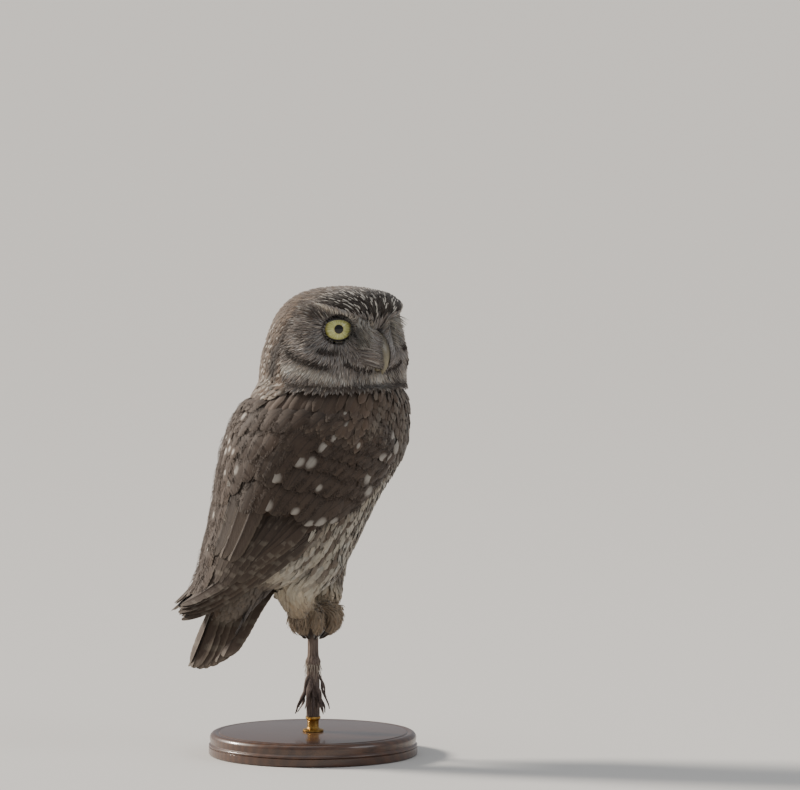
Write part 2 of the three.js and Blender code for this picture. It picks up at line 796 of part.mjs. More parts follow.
// A frayed fibre: a thin strip that springs off the knot and hangs outside the bracts
function fibre(index, draw) {
  const radial = polar((360 / perch.fibres) * (index + 0.5) + 14 * (draw() - 0.5));
  const start = perch.knot + 0.8;
  const drop = 6 + 3 * draw();
  const flare = 1.2 + 1.6 * draw();
  const out = vec(radial.x, radial.y, 0.4).normalize();
  const stops = [
    [0, 2.4, 0.7],
    [0.4, 4.2, 0.6],
    [1, 4.2 + flare, 0.25],
  ];
  const frames = stops.map(([u, reach, half]) => ({
    centre: vec(radial.x * reach, radial.y * reach, start - drop * u),
    half,
    side: vec(-radial.y, radial.x, 0),
    out,
  }));
  return vanePlate(frames);
}

function perchSolid() {
  const draw = seeded(5);
  const strips = Array.from({ length: perch.bracts }, (_, i) => bract(i, draw));
  const fibres = Array.from({ length: perch.fibres }, (_, i) => fibre(i, draw));
  return largestBody(joined([stemSolid(), ...strips, ...fibres]));
}

// Stand: a turned disc, and a short rod with a ferrule that holds the stem
function turned(profile, segments) {
  const points = profile.map(([x, y]) => new THREE.Vector2(x, y));
  return new THREE.LatheGeometry(points, segments).rotateX(Math.PI / 2);
}

function standBase() {
  const { radius, height, bevel } = stand;
  return turned([[0, 0], [radius, 0], [radius, height - bevel], [radius - bevel, height], [0, height]], 48);
}

function standRod() {
  const low = stand.height + gap;
  const high = stand.height + stand.rodHeight - gap;
  const wide = stand.ferruleRadius;
  const thin = stand.rodRadius;
  const cup = 4; // the rim that the stem stands in
  const profile = [
    [0, low],
    [wide, low],
    [wide, low + 1.2],
    [thin, low + 2.2],
    [thin, high - 2],
    [cup, high - 1],
    [cup, high],
    [0, high],
  ];
  return turned(profile, 16);
}

// Assembly

const model = new THREE.Group();
const owl = new THREE.Group();
const headGroup = new THREE.Group();
const standGroup = new THREE.Group();
owl.position.set(body.x, 0, body.z);
owl.rotation.y = lean;
model.add(owl, headGroup, standGroup);
headGroup.applyMatrix4(headFrame);
model.updateMatrixWorld(true);

const finish = (color, roughness = 0.9, metalness = 0) =>
  new THREE.MeshStandardMaterial({ color, roughness, metalness });
const looks = {
  brown: finish(0x4a3f38),
  pale: finish(0xb9b0a4),
  face: finish(0x8b8279),
  iris: finish(0xd9cf5a, 0.15),
  horn: finish(0xa39a74, 0.45),
  claw: finish(0x2b2622, 0.4),
  stem: finish(0x6b5a48),
  wood: finish(0x3d2b1f, 0.45),
  brass: finish(0xb08d4f, 0.3, 1),
};

// Puts a solid made in the model's frame into a group as a named mesh
function addNode(group, name, solid, material) {
  const { vertProperties, triVerts } = solid.getMesh();
  const geometry = new THREE.BufferGeometry();
  geometry.setAttribute("position", new THREE.BufferAttribute(new Float32Array(vertProperties), 3));
  geometry.setIndex(new THREE.BufferAttribute(new Uint32Array(triVerts), 1));
  geometry.applyMatrix4(group.matrixWorld.clone().invert());
  geometry.computeVertexNormals();
  const mesh = new THREE.Mesh(geometry, material);
  mesh.name = name;
  group.add(mesh);
}

const sides = { left: 1, right: -1 };
const neckFloor = bodyPoint(torsoTop, 0, 0);
const headUp = vec(0, 0, 1).transformDirection(headFrame);
const headFloor = vec(0, 0, head.floor - gap).applyMatrix4(headFrame);

// Torso and neck are one form, parted by thin cuts
const trunkSolid = solidOf(trunk());
const trunkCutter = solidOf(trunk(gap));
const thighCutters = Object.values(legs).map((leg) => solidOf(thigh(leg, gap)));
const torso = without(trunkSolid.intersect(halfSpace(neckFloor, axisUp, -1)), ...thighCutters);
addNode(owl, "torso", largestBody(torso), looks.brown);
const neckStart = neckFloor.clone().addScaledVector(axisUp, gap);
const neck = trunkSolid.intersect(halfSpace(neckStart, axisUp)).intersect(halfSpace(headFloor, headUp, -1));
addNode(owl, "neck", largestBody(neck), looks.brown);

// Head with its lids, less what sits in it
const lids = [1, -1].map(lidRing);
const headCutters = [
  ...[1, -1].map((side) => solidOf(eyeBall(side, gap))),
  solidOf(upperBill(gap)),
  solidOf(lowerBill(gap)),
  ...[1, -1].map((side) => solidOf(lidOpening(side))),
  ...[1, -1].map((side) => solidOf(gape(side))),
];
const headSolid = without(joined([headShape(), ...lids]), ...headCutters);
addNode(headGroup, "head", largestBody(headSolid), looks.face);
const billSolid = without(solidOf(upperBill()), ...[1, -1].map((side) => solidOf(nostril(side))));
addNode(headGroup, "bill_upper", largestBody(billSolid), looks.horn);
const jawSolid = without(solidOf(lowerBill()), solidOf(upperBill(gap)));
addNode(headGroup, "bill_lower", largestBody(jawSolid), looks.horn);

const headCutter = solidOf(headShape(gap));
const tailCutters = [trunkCutter];
for (const [name, side] of Object.entries(sides)) {
  addNode(headGroup, `eye_${name}`, solidOf(eyeBall(side)), looks.iris);
  const wingSolid = without(wing(side, trunkCutter), headCutter);
  addNode(owl, `wing_${name}`, largestBody(wingSolid), looks.brown);
}
addNode(owl, "tail", tailSolid(tailCutters), looks.brown);

// Legs, feet and claws, each cut clear of what it grows from
const perchWhole = perchSolid();
const perchCutter = solidOf(
  limb({
    path: [vec(0, 0, gripZ - 8), vec(0, 0, stem.top)],
    radii: [stem.radius, stem.radius],
    sides: 14,
    steps: 1,
    grow: gap,
  }),
);
addNode(standGroup, "perch_stem", perchWhole, looks.stem);
for (const [name, leg] of Object.entries(legs)) {
  const ankle = leg.ankle.clone().add(vec(0, 0, gripZ));
  const down = leg.tarsus[2].clone().sub(leg.tarsus[0]).normalize();
  const apart = halfSpace(around(leg.middle, gap / 2, 0), around(leg.middle, 1, -gripZ));
  addNode(owl, `thigh_${name}`, solidOf(thigh(leg)), looks.pale);
  const aboveAnkle = halfSpace(ankle.clone().addScaledVector(down, -gap), down, -1);
  const shank = without(solidOf(tarsus(leg)), solidOf(thigh(leg, gap)), trunkCutter);
  addNode(owl, `tarsus_${name}`, largestBody(shank.intersect(aboveAnkle)), looks.pale);
  const footSolid = joined(foot(leg)).intersect(apart).intersect(halfSpace(ankle, down));
  addNode(owl, `foot_${name}`, largestBody(without(footSolid, perchCutter)), looks.pale);
  leg.toes.forEach((angle, i) => addNode(owl, `claw_${name}_${i + 1}`, solidOf(claw(angle)), looks.claw));
}

addNode(standGroup, "stand_base", solidOf(standBase()), looks.wood);
addNode(standGroup, "stand_rod", solidOf(standRod()), looks.brass);

export default model;
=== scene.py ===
import math

import bmesh
import bpy
import numpy as np
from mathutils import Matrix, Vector
from mathutils.bvhtree import BVHTree
from numpy.random import default_rng


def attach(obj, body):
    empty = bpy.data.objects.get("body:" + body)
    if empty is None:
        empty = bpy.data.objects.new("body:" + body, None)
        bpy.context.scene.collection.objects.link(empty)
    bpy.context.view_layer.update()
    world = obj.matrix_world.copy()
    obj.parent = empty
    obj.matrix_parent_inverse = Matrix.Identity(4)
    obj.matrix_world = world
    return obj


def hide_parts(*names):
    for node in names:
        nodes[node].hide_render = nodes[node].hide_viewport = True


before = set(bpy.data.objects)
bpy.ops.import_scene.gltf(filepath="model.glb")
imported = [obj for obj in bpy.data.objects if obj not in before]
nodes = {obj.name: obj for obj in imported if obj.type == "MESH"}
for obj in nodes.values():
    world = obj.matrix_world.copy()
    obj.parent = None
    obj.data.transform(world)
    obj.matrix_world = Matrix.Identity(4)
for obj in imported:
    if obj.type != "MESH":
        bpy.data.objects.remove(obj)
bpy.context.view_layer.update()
mm = 0.001


# Curves and mixes that the shapes and the markings share
def smoothRows(rows):
    table = np.array(rows, float)
    last = len(table) - 1
    before = table[np.maximum(np.arange(last + 1) - 1, 0)]
    after = table[np.minimum(np.arange(last + 1) + 1, last)]
    slope = (after - before) / (after[:, :1] - before[:, :1])

    def at(key):
        key = np.asarray(key, float)
        i = np.clip(np.searchsorted(table[:, 0], key) - 1, 0, last - 1)
        span = (table[i + 1, 0] - table[i, 0])[..., None]
        u = np.clip((key - table[i, 0])[..., None] / span, 0, 1)
        low = (1 + 2 * u) * (1 - u) ** 2 * table[i, 1:] + u * (1 - u) ** 2 * span * slope[i, 1:]
        high = u * u * (3 - 2 * u) * table[i + 1, 1:] + u * u * (u - 1) * span * slope[i + 1, 1:]
        return np.moveaxis(low + high, -1, 0)

    return at


def bump(x, width):
    return np.exp(-((x / width) ** 2))


def ease(x, low, high):
    k = np.clip((x - low) / (high - low), 0, 1)
    return k * k * (3 - 2 * k)


def mix(a, b, share):
    return a + (b - a) * share


def turns(count):  # equal steps round a circle
    return np.linspace(0, 2 * math.pi, count, endpoint=False)


def unit(vectors):
    return vectors / np.maximum(np.linalg.norm(vectors, axis=-1, keepdims=True), 1e-9)


def dot(a, b):
    return (a * b).sum(-1, keepdims=True)


def along(tangentTo, normal):  # the part of a way that lies in the surface
    return unit(tangentTo - dot(tangentTo, normal) * normal)


def paint(red, green, blue):  # screen values 0 to 255 as linear colour
    value = np.array([red, green, blue], float) / 255
    return np.where(value < 0.04045, value / 12.92, ((value + 0.055) / 1.055) ** 2.4)


umber = paint(62, 50, 42)
brown = paint(92, 76, 63)
sand = paint(134, 114, 95)
buff = paint(186, 165, 134)
white = paint(222, 215, 203)
cream = paint(205, 192, 168)
grey = paint(141, 135, 131)
slate = paint(88, 82, 79)
soot = paint(30, 26, 24)

bothSides = ((-1, "Right"), (1, "Left"))

# The body's own frame: t along its axis, e forward, y to the left
body = {"x": -27, "z": 89.4, "lean": 20}
gripZ = 62  # the top of the grip round the stem
lean = math.radians(body["lean"])
axisUp = np.array([math.sin(lean), 0, math.cos(lean)])
forward = np.array([math.cos(lean), 0, -math.sin(lean)])
leftward = np.array([0.0, 1, 0])
bodyFoot = np.array([body["x"], 0, body["z"]])


def bodyPoint(t, e, y):
    t, e, y = np.broadcast_arrays(np.asarray(t, float), e, y)
    return bodyFoot + t[..., None] * axisUp + e[..., None] * forward + y[..., None] * leftward


def toBody(points):  # t, e and y of points
    away = points - bodyFoot
    return away @ axisUp, away @ forward, away[..., 1]


# The folded wings lie on this sheet: t, then back, widest place, front and half width
sheetRows = [
    [-34, -46.5, -36, -26, 9],
    [-19, -39.5, -22, -5, 18],
    [-5, -37, -12, 12, 25.5],
    [8, -38.2, -6, 30, 31],
    [21, -38.8, -3, 36.8, 35.5],
    [34, -40.8, -1, 38.8, 38.5],
    [48, -43.2, 0, 40.9, 41],
    [62, -44.9, 0.5, 42.5, 42.8],
    [78, -44.5, 1.5, 46.5, 43.3],
    [93, -41, 4, 48.2, 42.3],
    [106, -39.5, 5, 46.8, 40],
]
sheetAt = smoothRows(sheetRows)
wingUpper = smoothRows([[-14, 1], [56, 1], [66, 9], [76, 26], [86, 48], [96, 74], [104, 94]])
wingLower = smoothRows(
    [[-14, 60], [-2, 76], [20, 92], [44, 117], [62, 132], [76, 139], [88, 139], [98, 128], [104, 112]]
)


def sheetEllipse(t, psi, side):  # e and y on the sheet
    back, wide, front, half = sheetAt(t)
    c = np.cos(np.radians(psi))
    return wide - np.where(c > 0, wide - back, front - wide) * c, side * half * np.sin(np.radians(psi))


def sheetBase(t, psi, side):
    return bodyPoint(t, *sheetEllipse(t, psi, side))


def sheetOut(t, psi, side):
    down = sheetBase(t + 0.5, psi, side) - sheetBase(t - 0.5, psi, side)
    roundTurn = sheetBase(t, psi + 0.5, side) - sheetBase(t, psi - 0.5, side)
    return unit(np.cross(roundTurn, down)) * -np.asarray(side)[..., None]


def sheetPoint(t, psi, side, height):
    return sheetBase(t, psi, side) + sheetOut(t, psi, side) * np.asarray(height)[..., None]


def makeRoundTable():  # psi by t and by the distance round the sheet from the middle of the back
    levels = np.arange(-60, 113)
    turns = np.arange(0, 181, 2)
    points = sheetBase(*np.meshgrid(levels, turns, indexing="ij"), 1)
    reach = np.linalg.norm(np.diff(points, axis=1), axis=-1).cumsum(1)
    reach = np.pad(reach, ((0, 0), (1, 0)))
    rounds = np.arange(-20, 141)
    table = np.array([np.interp(np.maximum(rounds, 0), row, turns) for row in reach])
    first = turns[1] / reach[:, 1:2]
    return np.where(rounds < 0, rounds * first, table)


roundTable = makeRoundTable()


def psiAt(t, roundTurn):
    row = np.clip(np.asarray(t) + 60, 0, 171.999)
    column = np.clip(np.asarray(roundTurn) + 20, 0, 159.999)
    i, j = row.astype(int), column.astype(int)
    a, b = row - i, column - j
    low = mix(roundTable[i, j], roundTable[i, j + 1], b)
    return mix(low, mix(roundTable[i + 1, j], roundTable[i + 1, j + 1], b), a)


def placeOnSheet(points):  # t, psi, side and height over the sheet
    t, e, y = toBody(points)
    back, wide, front, half = sheetAt(t)
    c = (wide - e) / np.where(e < wide, wide - back, front - wide)
    psi = np.degrees(np.arctan2(np.abs(y) / half, c))
    side = np.where(y < 0, -1, 1)
    return t, psi, side, np.linalg.norm(points - sheetBase(t, psi, side), axis=-1)


# The head's own frame: x towards the bill, y to its left, z up
head = {"x": 12.2, "z": 220.4, "turn": -70.5, "floor": -24, "radius": 36}
headTurn = math.radians(head["turn"])
headCentre = np.array([head["x"], 0, head["z"]])
headAxes = np.array(
    [[math.cos(headTurn), math.sin(headTurn), 0], [-math.sin(headTurn), math.cos(headTurn), 0], [0, 0, 1]]
)


def toHead(points):
    return (points - headCentre) @ headAxes.T


def fromHead(points):
    return np.asarray(points, float) @ headAxes + headCentre


eye = {"radius": 9.4, "forward": 19.2, "aside": 15.1, "up": 6.2, "outward": 34}


def eyeAxes(side):  # across towards the bill, the way it looks, up
    turn = math.radians(eye["outward"])
    look = unit(np.array([math.cos(turn), side * math.sin(turn), 0.02]))
    across = unit(np.cross(look, [0, 0, 1.0])) * side
    return np.array([across, look, np.cross(across, look) * side])


def eyeCentre(side):
    return np.array([eye["forward"], side * eye["aside"], eye["up"]])


# Legs, as in the solids: paths of the thigh, the tarsus and the toes, round the stem on the Z axis
legs = {
    -1: {
        "thigh": [(0, -15.5, 46), (-7, -13, 36), (-12.5, -11.2, 28)],
        "tarsus": [(-14, -11.3, 26.5), (-10, -8.8, 20.5), (-5.2, -5.2, 14.5)],
        "toes": [-142, -97, 173, -52],
    },
    1: {
        "thigh": [(13, 15.5, 46), (11.5, 13, 36), (11, 11.2, 29)],
        "tarsus": [(11.2, 11, 27), (8.5, 8, 20.5), (5, 4.6, 15)],
        "toes": [38, 83, -7, 128],
    },
}
toeArch = [(4.2, 15.2), (9.4, 15.4), (12, 10.8), (10.6, 5.6), (8.2, 3.4)]


def around(angle, reach, z):
    turn = math.radians(angle)
    return np.array([math.cos(turn) * reach, math.sin(turn) * reach, z + gripZ])


def toeReach(angle):  # the front toes reach further
    return 1 + 0.13 * math.cos(math.radians(angle))


def toePath(angle):
    return [around(angle, reach * toeReach(angle), z) for reach, z in toeArch]


def splinePoints(path, count):  # points along a smooth curve through a short path
    path = np.array(path, float)
    marks = np.linspace(0, 1, len(path))
    return smoothRows(np.column_stack([marks, path]))(np.linspace(0, 1, count)).T


# Node trees: a wrapped socket on which sums are written, and one method for every node
class Wire:
    def __init__(self, net, socket):
        self.net = net
        self.socket = socket

    def __add__(self, other):
        return self.net.math("ADD", self, other)

    def __radd__(self, other):
        return self.net.math("ADD", other, self)

    def __sub__(self, other):
        return self.net.math("SUBTRACT", self, other)

    def __rsub__(self, other):
        return self.net.math("SUBTRACT", other, self)

    def __mul__(self, other):
        return self.net.math("MULTIPLY", self, other)

    def __rmul__(self, other):
        return self.net.math("MULTIPLY", other, self)

    def __truediv__(self, other):
        return self.net.math("DIVIDE", self, other)

    def __rtruediv__(self, other):
        return self.net.math("DIVIDE", other, self)


class NodeNet:
    def __init__(self, tree, material=None):
        self.tree = tree
        self.material = material

    def node(self, kind, settings=None, values=None, out=0):
        made = self.tree.nodes.new(kind)
        for name, setting in (settings or {}).items():
            if name == "stops":
                ramp = made.color_ramp.elements
                while len(ramp) < len(setting):
                    ramp.new(0.5)
                for stop, (place, tone) in zip(ramp, setting):
                    stop.position = place
                    stop.color = (*tone, 1)
            else:
                setattr(made, name, setting)
        for name, value in (values or {}).items():
            if isinstance(value, Wire):
                self.tree.links.new(value.socket, made.inputs[name])
            else:
                made.inputs[name].default_value = value
        return Wire(self, made.outputs[out]) if len(made.outputs) else None

    def math(self, operation, *terms):
        return self.node("ShaderNodeMath", {"operation": operation}, dict(enumerate(terms)))

    def most(self, a, b):
        return self.math("MAXIMUM", a, b)

    def size(self, a):
        return self.math("ABSOLUTE", a)

    def wave(self, a):
        return self.math("SINE", a)

    def ease(self, a, low, high):
        values = {"Value": a, "From Min": low, "From Max": high}
        return self.node("ShaderNodeMapRange", {"interpolation_type": "SMOOTHSTEP"}, values)

    def blend(self, share, a, b):
        a, b = (tone if isinstance(tone, Wire) else (*tone, 1) for tone in (a, b))
        return self.node("ShaderNodeMix", {"data_type": "RGBA"}, {0: share, 6: a, 7: b}, 2)

    def scaled(self, tone, amount):
        return self.node("ShaderNodeVectorMath", {"operation": "SCALE"}, {0: tone, "Scale": amount})

    def point(self, x, y, z):
        return self.node("ShaderNodeCombineXYZ", {}, {0: x, 1: y, 2: z})

    def parts(self, vector):
        first = self.node("ShaderNodeSeparateXYZ", {}, {0: vector})
        return [Wire(self, out) for out in first.socket.node.outputs]

    def attribute(self, name, out="Vector"):
        return self.node("ShaderNodeAttribute", {"attribute_name": name}, {}, out)

    def noise(self, vector, scale, detail=2.0, rough=0.5):
        values = {"Vector": vector, "Scale": scale, "Detail": detail, "Roughness": rough}
        return self.node("ShaderNodeTexNoise", {}, values)

    def place(self):
        return self.node("ShaderNodeTexCoord", {}, {}, "Object")


def newMaterial(name):
    material = bpy.data.materials.new(name)
    material.use_nodes = True
    material.node_tree.nodes.clear()
    return NodeNet(material.node_tree, material)


def feed(net, shader):  # constants go on the shader's own sockets, wires are linked
    surface = net.node("ShaderNodeBsdfPrincipled", {}, shader)
    net.node("ShaderNodeOutputMaterial", {}, {"Surface": surface})
    return net.material


def bumped(net, height, strength, distance):
    values = {"Strength": strength, "Distance": distance, "Height": height}
    return net.node("ShaderNodeBump", {}, values)


# Meshes
def placed(name, data):
    made = bpy.data.objects.new(name, data)
    bpy.context.scene.collection.objects.link(made)
    return made


def makeObject(name, points, faces, material=None, edges=()):
    mesh = bpy.data.meshes.new(name)
    mesh.from_pydata((np.asarray(points) * mm).tolist(), list(edges), faces)
    mesh.update()
    if material:
        mesh.materials.append(material)
    return placed(name, mesh)


def giveValues(mesh, name, kind, values):  # an attribute on the mesh's points
    field = {"FLOAT": "value", "FLOAT_COLOR": "color", "FLOAT_VECTOR": "vector"}[kind]
    values = np.asarray(values, np.float32)
    if kind == "FLOAT_COLOR":
        values = np.column_stack([values, np.ones(len(values), np.float32)])
    attribute = mesh.attributes.get(name) or mesh.attributes.new(name, kind, "POINT")
    attribute.data.foreach_set(field, values.ravel())


def finishPiece(piece, replaced=(), smoothBelow=60):
    piece.data.polygons.foreach_set("use_smooth", [True] * len(piece.data.polygons))
    piece.data.set_sharp_from_angle(angle=math.radians(smoothBelow))
    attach(piece, "root")
    if replaced:
        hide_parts(*replaced)
    triangles = sum(len(p.vertices) - 2 for p in piece.data.polygons)
    print(f"{piece.name}: {triangles} triangles")
    return piece


def plainMesh(piece):  # a copy of its mesh with the modifiers in
    depsgraph = bpy.context.evaluated_depsgraph_get()
    return bpy.data.meshes.new_from_object(piece.evaluated_get(depsgraph))


def evaluated(piece):
    mesh = plainMesh(piece)
    piece.modifiers.clear()
    old = piece.data
    piece.data = mesh
    bpy.data.meshes.remove(old)
    return piece


def tubeFaces(rings, sides):
    faces = []
    for i in range(rings - 1):
        for k in range(sides):
            a, b = i * sides + k, i * sides + (k + 1) % sides
            faces.append((a, b, b + sides, a + sides))
    return faces


def closedTube(ringPoints):  # rings of equally many points, closed flat at both ends
    rings, sides = ringPoints.shape[:2]
    faces = tubeFaces(rings, sides)
    faces += [tuple(range(sides - 1, -1, -1)), tuple(range((rings - 1) * sides, rings * sides))]
    return ringPoints.reshape(-1, 3), faces


def facesOut(made):
    shape = bmesh.new()
    shape.from_mesh(made.data)
    bmesh.ops.remove_doubles(shape, verts=shape.verts, dist=1e-7)
    bmesh.ops.recalc_face_normals(shape, faces=shape.faces)
    shape.to_mesh(made.data)
    shape.free()
    return made


# The shape that the coat grows on: the solids of flesh and the wings' and tail's cores, as one
coatShapeSet = {"voxel": 1.2, "grow": 0.1, "smoothing": 5}
fleshNodes = ["torso", "neck", "head"]
fleshNodes += [f"{part}_{side}" for part in ("thigh", "tarsus", "foot") for side in ("left", "right")]
wingCoreSet = {"levels": [-14, -6, 6, 20, 34, 48, 60, 69, 76, 83, 90, 97, 104], "across": 14}
tailCoreSet = {
    "rows": [[-27, -24, -13, 7], [-18, -26.5, -6.5, 12], [-8, -29, -1, 15], [3, -28, 0, 14]],
    "levels": [-29, -27, -24, -21, -17, -14, -10, -7, -3, 3],
}


def wingCore(side):
    t = np.repeat(np.array(wingCoreSet["levels"], float)[:, None], wingCoreSet["across"] + 1, 1)
    q = np.tile(np.linspace(0, 1, wingCoreSet["across"] + 1), (len(t), 1))
    psi = mix(wingUpper(t)[0], wingLower(t)[0], q)
    cover = mix(-2.2, -0.4, ease(t, 60, 86))
    rim = 2 * bump(q - 1, 0.16) + 1.6 * bump(q, 0.1) * ease(t, 55, 70) + 2.4 * ease(t, 92, 104)
    outer = sheetPoint(t, psi, side, cover - rim)
    inner = sheetPoint(t, psi, side, mix(-5, -8.4, ease(t, -10, 22)) - 0.3 * q)
    rings = np.concatenate([outer, inner[:, ::-1]], axis=1)
    return closedTube(rings)


def tailCore():
    t = np.array(tailCoreSet["levels"], float)[:, None]
    turn = turns(20)[None, :]
    back, front, half = smoothRows(tailCoreSet["rows"])(t)
    end = np.where(t < -27, 0.45, 1)
    e = (front + back) / 2 + (front - back) / 2 * np.cos(turn) * end + 2.5 * np.sin(turn) ** 2
    return closedTube(bodyPoint(t, e, half * end * np.sin(turn)))


def makeCoatShape():
    points, faces = [], []
    for name in fleshNodes:
        shape = bmesh.new()
        shape.from_mesh(nodes[name].data)
        bmesh.ops.remove_doubles(shape, verts=shape.verts, dist=1e-7)
        shape.normal_update()
        start = len(points)
        points += [v.co / mm + v.normal * coatShapeSet["grow"] for v in shape.verts]
        faces += [[start + v.index for v in f.verts] for f in shape.faces]
        shape.free()
    for corePoints, coreFaces in (wingCore(-1), wingCore(1), tailCore()):
        start = len(points)
        points += [Vector(p) for p in corePoints]
        faces += [[start + i for i in f] for f in coreFaces]
    made = makeObject("bodySkin", [tuple(p) for p in points], faces)
    remesh = made.modifiers.new("oneBody", "REMESH")
    remesh.mode = "VOXEL"
    remesh.voxel_size = coatShapeSet["voxel"] * mm
    soften = made.modifiers.new("soften", "SMOOTH")
    soften.factor = 0.5
    soften.iterations = coatShapeSet["smoothing"]
    return evaluated(made)


def meshArrays(mesh):  # points and smooth normals in millimetres, and the faces
    count = len(mesh.vertices)
    points, normals = np.empty(count * 3), np.empty(count * 3, np.float32)
    mesh.vertices.foreach_get("co", points)
    mesh.vertex_normals.foreach_get("vector", normals)
    faces = [tuple(p.vertices) for p in mesh.polygons]
    return points.reshape(-1, 3) / mm, normals.reshape(-1, 3).astype(float), faces


skin = makeCoatShape()
coatPoints, coatNormals, coatFaces = meshArrays(skin.data)
coatTree = BVHTree.FromPolygons(coatPoints.tolist(), coatFaces)
faceNormals = unit(np.array([coatNormals[list(f)].mean(0) for f in coatFaces]))
print(f"coat shape: {len(coatFaces)} faces")


def onCoat(points):  # the nearest points of the coat shape, and its normals there
    found = [coatTree.find_nearest(Vector(p)) for p in points]
    places = np.array([f[0] for f in found])
    return places, faceNormals[[f[2] for f in found]]


# Where things are, for the coat's regions and markings
def pathsDistance(points, paths):  # distance to the nearest path, its index and the way along it
    best = np.full(len(points), 1e9)
    which = np.zeros(len(points), int)
    way = np.zeros((len(points), 3))
    for index, path in enumerate(paths):
        line = splinePoints(path, 16)
        ways = unit(np.gradient(line, axis=0))
        gaps = np.linalg.norm(points[:, None] - line[None], axis=-1)
        near = gaps.argmin(1)
        gap = gaps[np.arange(len(points)), near]
        closer = gap < best
        best = np.where(closer, gap, best)
        which = np.where(closer, index, which)
        way[closer] = ways[near[closer]]
    return best, which, way


def lifted(path):
    return [np.array(p, float) + [0, 0, gripZ] for p in path]


thighPaths = [lifted(legs[side]["thigh"]) for side in (-1, 1)]
shankPaths = [lifted(legs[side]["tarsus"]) for side in (-1, 1)]
toePaths = [toePath(angle) for side in (-1, 1) for angle in legs[side]["toes"]]


def headPlace(points):  # aside from the bill's line along the face, height and distance from the eye
    local = toHead(points)
    aside = np.abs(np.arctan2(local[:, 1], local[:, 0])) * head["radius"]
    fromEye = np.hypot(aside - 24, (local[:, 2] - eye["up"]) * 1.1)
    return local, aside, local[:, 2], fromEye


def browHeight(aside):
    return 6.4 + 0.36 * aside


def discEdge(aside, z):  # above 0 outside the facial disc
    over = z - browHeight(aside) - 1.5
    behind = aside - (53 - 0.35 * np.maximum(z + 2, 0) - 0.012 * np.maximum(-z - 8, 0) ** 2)
    return np.maximum(over, behind)


def regions(points, normals):  # shares of the coat's regions at points of the coat shape
    _, aside, z, _ = headPlace(points)
    t, psi, side, height = placeOnSheet(points)
    _, e, y = toBody(points)
    inHead = ease(points[:, 2], headCentre[2] + head["floor"] - 1.0, headCentre[2] + head["floor"] + 0.5)
    onFace = inHead * (discEdge(aside, z) < 0)
    bounded = (psi > wingUpper(t)[0] - 1) & (psi < wingLower(t)[0] - 1) & (t > -14) & (t < 96)
    facing = dot(normals, sheetOut(t, psi, side))[:, 0]
    wing = bounded & (height < 4) & (facing > 0)
    underWing = (psi < wingLower(t)[0] + 3) & (t < 30) & (height < 12) & (height > 3) & (facing < -0.2)
    thighGap = pathsDistance(points, thighPaths)[0]
    shankGap = pathsDistance(points, shankPaths)[0]
    toeGap = pathsDistance(points, toePaths)[0]
    low = points[:, 2] < gripZ + 50
    foot = low & (toeGap < 4.6) & (points[:, 2] < gripZ + 20)
    leg = low & ~foot & ((thighGap < 13.6) | (shankGap < 9.5)) & (points[:, 2] < gripZ + 44)
    onBody = (inHead < 0.5) & ~wing & ~underWing & ~foot & ~leg
    rump = (psi < 75) & (t > -30) & (facing > -0.3) & (np.abs(y) < 22 + 0.2 * t)
    back = onBody & (rump | ((t > 60) & (psi < 100))) & ((t > 4) | (e < -22))
    return {
        "face": onFace > 0.5,
        "crown": (inHead > 0.5) & ~(onFace > 0.5),
        "back": back,
        "front": onBody & ~back,
        "leg": leg,
        "foot": foot,
    }


coatRegions = regions(coatPoints, coatNormals)
for name, mask in coatRegions.items():
    print(f"region {name}: {int(mask.sum())} points")


# Roots: spread over a region by a node tree, no two closer than a spacing
def newTree(name, inputs):  # a geometry group: its sheet, its inputs' identifiers and their wires
    tree = bpy.data.node_groups.new(name, "GeometryNodeTree")
    socket = tree.interface.new_socket
    named = {}
    for key, kind in (("Geometry", "Geometry"), *inputs):
        named[key] = socket(key, in_out="INPUT", socket_type=f"NodeSocket{kind}").identifier
    socket("Geometry", in_out="OUTPUT", socket_type="NodeSocketGeometry")
    net = NodeNet(tree)
    outs = net.node("NodeGroupInput").socket.node.outputs
    return net, named, {key: Wire(net, outs[key]) for key in named}


def closeTree(net, geometry, material=None):
    real = net.node("GeometryNodeRealizeInstances", {}, {"Geometry": geometry})
    values = {"Geometry": real, "Material": material} if material else {"Geometry": real}
    net.node("NodeGroupOutput", {}, {"Geometry": net.node("GeometryNodeSetMaterial", {}, values)})


def growTree(piece, net, named, **values):  # a live modifier with the tree's inputs set
    grown = piece.modifiers.new("grown", "NODES")
    grown.node_group = net.tree
    for key, value in values.items():
        grown[named[key]] = value
    return grown


def makeScatterTree():
    net, named, given = newTree("featherRoots", [("Spacing", "Float"), ("Seed", "Int")])
    share = net.node("GeometryNodeInputNamedAttribute", {"data_type": "FLOAT"}, {"Name": "region"})
    values = {
        "Mesh": given["Geometry"],
        "Distance Min": given["Spacing"],
        "Density Max": 5 / (given["Spacing"] * given["Spacing"]),
        "Density Factor": share,
        "Seed": given["Seed"],
    }
    spread = net.node("GeometryNodeDistributePointsOnFaces", {"distribute_method": "POISSON"}, values)
    closeTree(net, net.node("GeometryNodePointsToVertices", {}, {"Points": spread}))
    return net, named


scatterTree = makeScatterTree()


def scatter(mask, spacing, seed):
    giveValues(skin.data, "region", "FLOAT", mask)
    spread = growTree(skin, *scatterTree, Spacing=spacing * mm, Seed=seed)
    mesh = plainMesh(skin)
    roots = np.empty(len(mesh.vertices) * 3)
    mesh.vertices.foreach_get("co", roots)
    bpy.data.meshes.remove(mesh)
    skin.modifiers.remove(spread)
    return roots.reshape(-1, 3) / mm


# The lie of the coat
tailTip = bodyPoint(-60, -32, 0)
billRoot = fromHead([36, 0, 2])


def lieOfBody(points, normals):
    return along(tailTip - points, normals)


